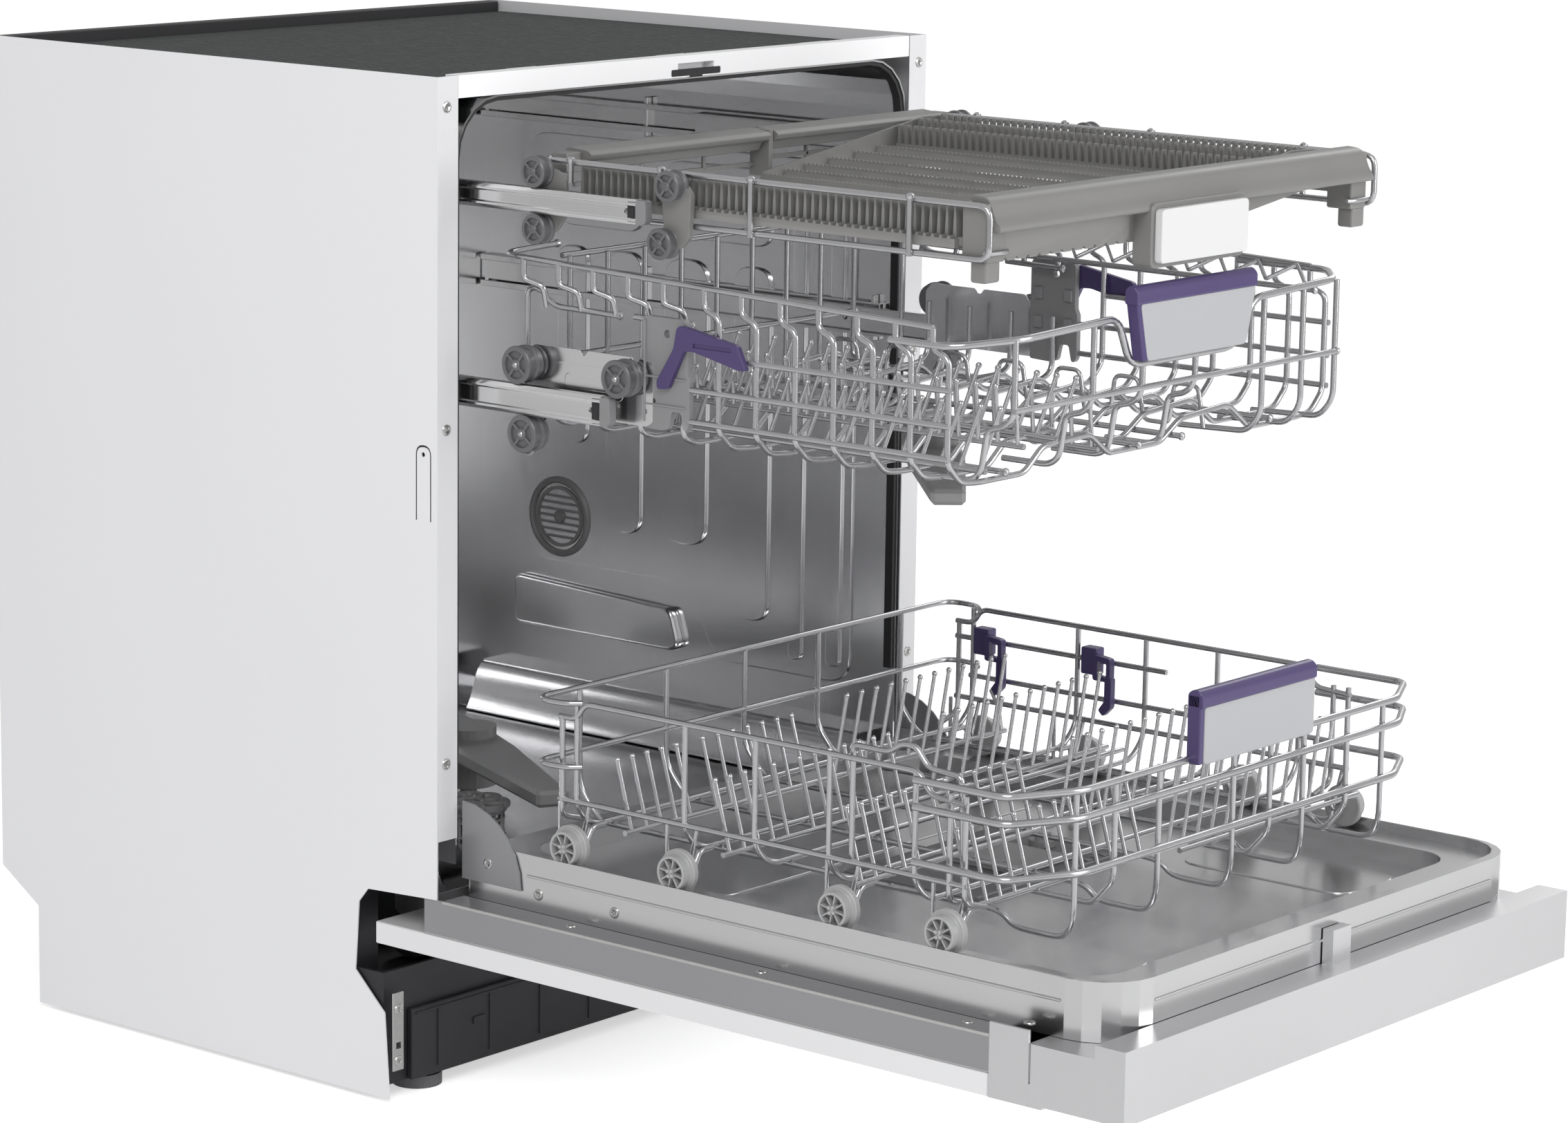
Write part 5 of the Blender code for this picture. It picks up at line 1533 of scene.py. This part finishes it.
def slide(node, side):
    """The C section of a moving member, modelled on the left side."""
    low, high = depth_box(node)
    if low.x > 0:
        low.x, high.x = -high.x, -low.x
    web, lip = low.x + 0.0022, high.x
    profile = [(low.z, web), (low.z, lip), (low.z + 0.0012, lip), (low.z + 0.0012, web + 0.0012),
               (high.z - 0.0012, web + 0.0012), (high.z - 0.0012, lip), (high.z, lip),
               (high.z, web), (high.z - 0.0030, web - 0.0020), (high.z - 0.0046, web - 0.0020),
               (high.z - 0.0058, web - 0.0004), (low.z + 0.0058, web - 0.0004),
               (low.z + 0.0046, web - 0.0020), (low.z + 0.0030, web - 0.0020)]
    channel = plate([(x, z) for z, x in profile], "y", low.y + 0.010, high.y, 0.00025, segments=1)
    for depth in (low.y + 0.020, low.y + 0.20):
        carve(channel, turned([(0, -0.02), (0.0024, -0.02), (0.0024, 0.02), (0, 0.02), (0, -0.02)],
                              (web, depth, (low.z + high.z) / 2), "x", 16))
    clip = join([block((low.x + 0.0006, low.y + 0.0100, low.z + 0.0018),
                       (high.x - 0.0008, low.y + 0.0185, high.z - 0.0018), 0.0006, 2),
                 block((low.x, low.y + 0.0120, low.z + 0.0060),
                       (low.x + 0.0020, low.y + 0.0165, high.z - 0.0060), 0.0004, 1)])
    stop = plate([(low.y, low.z + 0.0030), (low.y + 0.0030, low.z + 0.0002),
                  (low.y + 0.0105, low.z + 0.0002), (low.y + 0.0105, high.z - 0.0002),
                  (low.y + 0.0010, high.z - 0.0002), (low.y, high.z - 0.0040)], "x", low.x,
                 high.x, 0.0010, radius=0.002, segments=2)
    parts = []
    for piece, skin, label in ((channel, rail_skin, "channel"), (clip, black_plastic, "clip"),
                               (stop, bracket_plastic, "stop")):
        if side > 0:
            twin = copy_of(piece, mirror=True)
            bpy.data.objects.remove(piece, do_unlink=True)
            piece = twin
        parts.append((piece, skin, label))
    return parts


for level, short in (("upper_rail", "upper_rail"), ("tray_rail", "tray_rail")):
    for side, word, letter in ((-1, "left", "l"), (1, "right", "r")):
        node = level + "_" + word
        for piece, skin, label in slide(node, side):
            stands_for = [node] if label == "channel" else ()
            place_piece(piece, f"{node}_{label}", skin, f"{short}_{letter}", stands_for)
print("four slides")

# %% Fixed guides
for level in ("upper_guide", "tray_guide"):
    for side, word in ((-1, "left"), (1, "right")):
        low, high = depth_box(level + "_" + word)
        inner = low.x if side > 0 else high.x
        outer = high.x if side > 0 else low.x
        a, b = sorted((inner, outer))
        t = 0.0012
        profile = [(outer, low.z), (inner, low.z), (inner, low.z + 0.0052),
                   (inner + side * t, low.z + 0.0052), (inner + side * t, low.z + t),
                   (outer - side * t, low.z + t), (outer - side * t, high.z - t),
                   (inner + side * t, high.z - t), (inner + side * t, high.z - 0.0052),
                   (inner, high.z - 0.0052), (inner, high.z), (outer, high.z)]
        channel = plate(profile, "y", low.y, high.y, 0.0003, segments=1)
        parts = [channel]
        for depth in (low.y + 0.006, high.y - 0.200):
            parts.append(block((a + 0.0004, depth, low.z - 0.0040), (b - 0.0004, depth + 0.0040,
                                                                     high.z + 0.0060), 0.0006, 1))
        place_piece(join(parts), f"{level}_channel_{word}", rail_skin, "cabinet",
                    [level + "_" + word])
print("four guides")

# %% [markdown]
# ### Filter
#
# The coarse filter is lifted out by its flower-shaped grip. Round it lies a
# fine steel sieve with rows of small holes. The holes are not drawn.

# %% Filter
low, high = depth_box("coarse_filter")
core = Vector(((low.x + high.x) / 2, (low.y + high.y) / 2, high.z))
reach = (high.x - low.x) / 2
petals = []
for k in range(8):
    angle = math.radians(45 * k)
    petals.append(turned([(0, -0.0060), (0.0115, -0.0060), (0.0125, -0.0045), (0.0125, -0.0015),
                          (0.0110, 0.0), (0.0085, -0.0010), (0.0070, -0.0035), (0, -0.0040),
                          (0, -0.0060)],
                         core + Vector((math.cos(angle), math.sin(angle), 0)) * (reach - 0.0130),
                         "z", 20))
ring = turned([(0, -0.0085), (reach - 0.004, -0.0085), (reach - 0.003, -0.0065),
               (reach - 0.006, -0.0045), (0.0125, -0.0045), (0.0110, -0.0025), (0, -0.0025),
               (0, -0.0085)], core, "z", 40)
cage = [ring] + petals
for k in range(16):
    angle = math.radians(22.5 * k)
    spot = core + Vector((math.cos(angle), math.sin(angle), 0)) * (reach - 0.0070)
    cage.append(block((spot.x - 0.0014, spot.y - 0.0014, low.z + 0.030),
                      (spot.x + 0.0014, spot.y + 0.0014, high.z - 0.006), 0.0005, 1))
for level in (0.172, 0.184):
    cage.append(turned([(reach - 0.0090, 0), (reach - 0.0050, 0), (reach - 0.0050, 0.0020),
                        (reach - 0.0090, 0.0020), (reach - 0.0090, 0)],
                       (core.x, core.y, level), "z", 40))
cage.append(turned([(0, 0), (reach - 0.0100, 0), (reach - 0.0100, 0.030), (reach - 0.0115, 0.030),
                    (reach - 0.0115, 0.002), (0, 0.002), (0, 0)],
                   (core.x, core.y, low.z + 0.002), "z", 32))
place_piece(join(cage), "filter_cage", bracket_plastic, "filter_body", ["coarse_filter"])
# %% [markdown]
# ## The door
#
# The door lies open, so its inner side shows. Between the dark frame and the
# steel liner runs a flat flange with a few small screws. It is a folded
# strip on each side, with a light edge where the paint ends. The end of the
# fascia wraps round the corner as a short strip with a seam.

# %% Door edge
frame_low, frame_high = depth_box("door_frame")
liner_low, liner_high = depth_box("door_liner")
fascia_low, fascia_high = depth_box("control_fascia")
flanges, edges, strips = [], [], []
for side in (-1, 1):
    inner, outer = side * (liner_high.x + 0.0004), side * (frame_high.x - 0.0002)
    a, b = sorted((inner, outer))
    flanges.append(block((a, fascia_high.y + 0.0004, frame_high.z - 0.0014),
                         (b, -0.0040, frame_high.z + 0.0002), 0.0004, 2))
    a, b = sorted((side * (frame_high.x - 0.0006), side * (frame_high.x + 0.0003)))
    edges.append(block((a, -0.5362, frame_high.z - 0.0022), (b, -0.0040, frame_high.z + 0.0002),
                       0.0002, 1))
    edges.append(block((a, -0.5362, frame_low.z + 0.0002), (b, 0.0140, frame_low.z + 0.0012),
                       0.0002, 1))
    a, b = sorted((side * (frame_high.x - 0.0020), side * (frame_high.x + 0.0003)))
    strips.append(block((a, -0.5720, fascia_low.z + 0.0003), (b, -0.5368, 0.1852), 0.0005, 2))
place_piece(join(flanges), "door_flanges", door_paint, "door")
place_piece(join(edges), "door_light_edges", screw_steel, "door")
place_piece(join(strips), "fascia_end_strips", fascia_skin, "door")
print("flanges, edges and end strips")

# %% Door screws
flange_spots = [(side * 0.2850, depth, frame_high.z + 0.0004)
                for side in (-1, 1) for depth in (-0.127, -0.316, -0.508)]
lip_spots = [(-0.284, -0.562, 0.1858), (0.284, -0.562, 0.1858)]
wall_spots = [(side * (liner_high.x + 0.0002), depth, 0.1900)
              for side in (-1, 1) for depth in (-0.082, -0.160)]
small = [screws(flange_spots + lip_spots, (0, 0, 1)),
         screws([s for s in wall_spots if s[0] < 0], (-1, 0, 0)),
         screws([s for s in wall_spots if s[0] > 0], (1, 0, 0))]
place_piece(join(small), "door_screws", screw_steel, "door")
print(len(flange_spots) + len(lip_spots) + len(wall_spots), "door screws")

# %% [markdown]
# The liner's basin has a raised border and a few shallow pressings. Its wall
# carries a bead just under the top, where the seal lands. They are thin pads
# on the liner, as on the walls of the tub.

# %% Liner relief
relief = []
for side in (-1, 1):
    a, b = sorted((side * (liner_high.x - 0.0004), side * (liner_high.x + 0.0012)))
    relief.append(block((a, -0.5800, 0.2020), (b, -0.0700, 0.2042), 0.0007, 2))
relief.append(block((-0.2250, liner_low.y - 0.0010, 0.2020), (0.2250, liner_low.y + 0.0004, 0.2042),
                    0.0005, 2))
basin = 0.1970
for low_x, low_y, high_x, high_y in ((-0.205, -0.560, -0.125, -0.400),
                                     (0.125, -0.560, 0.205, -0.400),
                                     (-0.205, -0.210, 0.205, -0.085)):
    relief.append(plate([(low_x, low_y), (high_x, low_y), (high_x, high_y), (low_x, high_y)], "z",
                        basin - 0.0006, basin + 0.0010, 0.0008, radius=0.022, segments=3))
place_piece(join(relief), "liner_pressings", liner_steel, "door")
print("liner pressings")

# %% [markdown]
# The dispenser has a dark frame, which stays as it is. On its front edge a
# low ridge and three small arrows are moulded, clear of the lid that slides
# over the cup.

# %% Dispenser details
disp_low, disp_high = depth_box("dispenser_body")
detail = []
for k in range(3):
    x = disp_high.x - 0.040 + 0.011 * k
    detail.append(plate([(x, disp_low.y + 0.008), (x + 0.007, disp_low.y + 0.008),
                         (x + 0.0035, disp_low.y + 0.016)], "z", disp_high.z - 0.0003,
                        disp_high.z + 0.0009, 0.0002))
detail.append(plate([(disp_low.x + 0.003, disp_low.y + 0.003),
                     (disp_high.x - 0.003, disp_low.y + 0.003),
                     (disp_high.x - 0.003, disp_low.y + 0.006),
                     (disp_low.x + 0.003, disp_low.y + 0.006)],
                    "z", disp_high.z - 0.0003, disp_high.z + 0.0010, 0.0004))
place_piece(join(detail), "dispenser_ridges", grey_plastic, "door")
print("dispenser ridges")

# %% Hinge details
hinge_spots = []
for side, facing in ((-1, (-1, 0, 0)), (1, (1, 0, 0))):
    spot = screws([(side * (liner_high.x + 0.0012), -0.0300, 0.2060)], facing)
    hinge_spots.append(spot)
place_piece(join(hinge_spots), "hinge_arm_screws", screw_steel, "door")
print("two hinge screws")
# %% [markdown]
# ## The cabinet
#
# Each side panel is one folded sheet. A small tab is pressed out of it near
# the front: an inverted U slot with a hole for a fixing screw. The panel is
# copied from its solid, its loose triangles are merged, and the slot is cut
# into the copy. A thin black strip in the slot is painted shade for the gap behind it.

# %% Side panels


def solid_copy(node):
    """A merged copy of a CAD node, in depths from the front plane."""
    mesh = bpy.data.objects[node].data.copy()
    obj = bpy.data.objects.new("kept_shape", mesh)
    bpy.context.scene.collection.objects.link(obj)
    mesh.transform(Matrix.Translation((0, -FRONT, 0)))
    return tidy_shell(obj)


for side, word in ((-1, "left"), (1, "right")):
    skin_x = side * abs(panel_low.x)
    panel = solid_copy("side_panel_" + word)
    slot_line = bundle([run([(skin_x, 0.0075, 0.474), (skin_x, 0.0075, 0.532),
                             (skin_x, 0.0225, 0.532), (skin_x, 0.0225, 0.474)],
                            thickness=0.0020, bend=0.007)])
    fixing = turned([(0, -0.0016), (0.0019, -0.0016), (0.0019, 0.0016), (0, 0.0016), (0, -0.0016)],
                    (skin_x, 0.0150, 0.5255), "x", 18)
    # A black strip, set a little inside the slot, is painted shade: it darkens the slot where the
    # gap behind the tab lies in shadow.
    slot_shade_strip = copy_of(slot_line, (-side * 0.0014, 0, 0))
    carve(panel, slot_line, fixing)
    place_piece(slot_shade_strip, "panel_slot_" + word, black_plastic, "cabinet")
    place_piece(panel, "folded_panel_" + word, panel_paint, "cabinet", ["side_panel_" + word])
print("two panels with their pressed tabs")

# %% [markdown]
# Screws hold the front flanges, at the top, in the middle and at the bottom.
# At the foot of each flange a small steel lug closes the plinth, with two
# screws and a square hole between them.

# %% Flange screws and lugs
flange_x = abs(panel_low.x) - 0.0100
front_screws = screws([(side * flange_x, 0.0, height) for side in (-1, 1)
                       for height in (0.792, 0.545, 0.283)], (0, -1, 0))
lugs = []
for side in (-1, 1):
    a, b = sorted((side * 0.2955, side * 0.2835))
    lug = block((a, 0.0508, 0.0260), (b, 0.0522, 0.0900), 0.0004, 2)
    carve(lug, block((side * 0.2895 - 0.0026, 0.04, 0.0440), (side * 0.2895 + 0.0026, 0.06, 0.0492),
                     0))
    lugs.append(lug)
lug_screws = screws([(side * 0.2895, 0.0508, height) for side in (-1, 1)
                     for height in (0.0340, 0.0760)], (0, -1, 0))
place_piece(join([front_screws, lug_screws]), "cabinet_screws", screw_steel, "cabinet")
place_piece(join(lugs), "plinth_lugs", screw_steel, "cabinet")
print("ten screws and two lugs")

# %% [markdown]
# Under the worktop the tub is covered by a felt mat, whose surface is rough.
# The front rail has a black plate, painted shade for the recess of the door
# catch, with the catch's keeper, and two tabs for the worktop.

# %% Top
mat_low, mat_high = depth_box("top_mat")
rail_low, rail_high = depth_box("front_rail")
felt = block((mat_low.x, mat_low.y, mat_low.z), (mat_high.x, mat_high.y, mat_high.z), 0.0016, 2)
place_piece(felt, "felt_mat", felt_skin, "cabinet", ["top_mat"])
# The thin black plate is painted shade: it darkens the rail face where the catch's recess would lie
# in shadow. The keeper block is the catch's own black plastic.
recess_shade_plate = plate([(-0.030, rail_low.z + 0.0010), (0.030, rail_low.z + 0.0010),
                (0.030, rail_low.z + 0.0065), (-0.030, rail_low.z + 0.0065)], "y",
               rail_low.y - 0.0003, rail_low.y + 0.0010, 0.0002, radius=0.0015)
keeper = block((-0.0080, rail_low.y - 0.0004, rail_low.z - 0.0006),
               (0.0080, rail_low.y + 0.0060, rail_low.z + 0.0030), 0.0006, 2)
place_piece(join([recess_shade_plate, keeper]), "catch_recess", black_plastic, "cabinet")
tabs = []
for x in (-0.205, -0.030, 0.150):
    tabs.append(plate([(x, 0.0180), (x + 0.034, 0.0180), (x + 0.031, 0.0120), (x + 0.0270, 0.0105),
                       (x + 0.0070, 0.0105), (x + 0.003, 0.0120)], "z", rail_high.z - 0.0012,
                      rail_high.z - 0.0001, 0.0003, radius=0.001))
place_piece(join(tabs), "worktop_tabs", screw_steel, "cabinet")
print("mat, recess and tabs")

# %% [markdown]
# The plastic base has a moulded front with ribs and one small slot.

# %% Base details
cover_low, cover_high = depth_box("plinth_cover")
ribs = []
for k in range(9):
    x = -0.240 + 0.060 * k
    ribs.append(block((x - 0.0010, cover_low.y - 0.0012, cover_low.z + 0.006),
                      (x + 0.0010, cover_low.y + 0.0006, cover_high.z - 0.004), 0.0004, 1))
ribs.append(block((cover_low.x + 0.004, cover_low.y - 0.0012, cover_high.z - 0.0050),
                  (cover_high.x - 0.004, cover_low.y + 0.0006, cover_high.z - 0.0030), 0.0004, 1))
ribs.append(block((-0.200, cover_low.y - 0.0016, 0.0440), (-0.186, cover_low.y + 0.0006, 0.0500),
                  0.0005, 1))
place_piece(join(ribs), "plinth_ribs", black_plastic, "cabinet")
print("plinth ribs")
# %% [markdown]
# ## Parts kept from the frame
#
# Some solids already have their right shape, because they are plain stamped
# or cast parts or are nearly hidden. They keep their geometry and get a
# finish from the same family as the pieces around them.

# %% Finishes for the kept parts
kept_finishes = {
    "ballast_block": iron_skin, "base_tray": black_plastic, "circulation_pump": dark_plastic,
    "control_fascia": fascia_skin, "decor_panel": board_white,
    "dispenser_body": dark_plastic, "dispenser_lid": grey_plastic, "door_frame": door_paint,
    "door_liner": liner_steel, "door_seal": seal_rubber, "filter_plate": tub_steel,
    "foot_front_left": dark_plastic, "foot_front_right": dark_plastic, "foot_rear": dark_plastic,
    "front_rail": flange_paint, "hinge_arm_left": door_paint, "hinge_arm_right": door_paint,
    "lower_spray_arm": grey_plastic, "plinth_cover": black_plastic, "power_button": button_skin,
    "rear_frame": black_plastic, "rinse_aid_cap": grey_plastic, 
    "start_button": button_skin, "sump": grey_plastic,
    "top_spray_arm": grey_plastic, 
    
    
    "tub": tub_steel, 
    "upper_spray_arm": grey_plastic,
}
for name, skin in kept_finishes.items():
    kept = bpy.data.objects[name]
    for slot_number in range(len(kept.material_slots)):
        kept.material_slots[slot_number].material = skin
print(len(kept_finishes), "kept parts finished")
# %% [markdown]
# The last cell removes the screw pattern.

# %% Finish
bpy.data.objects.remove(screw_head, do_unlink=True)
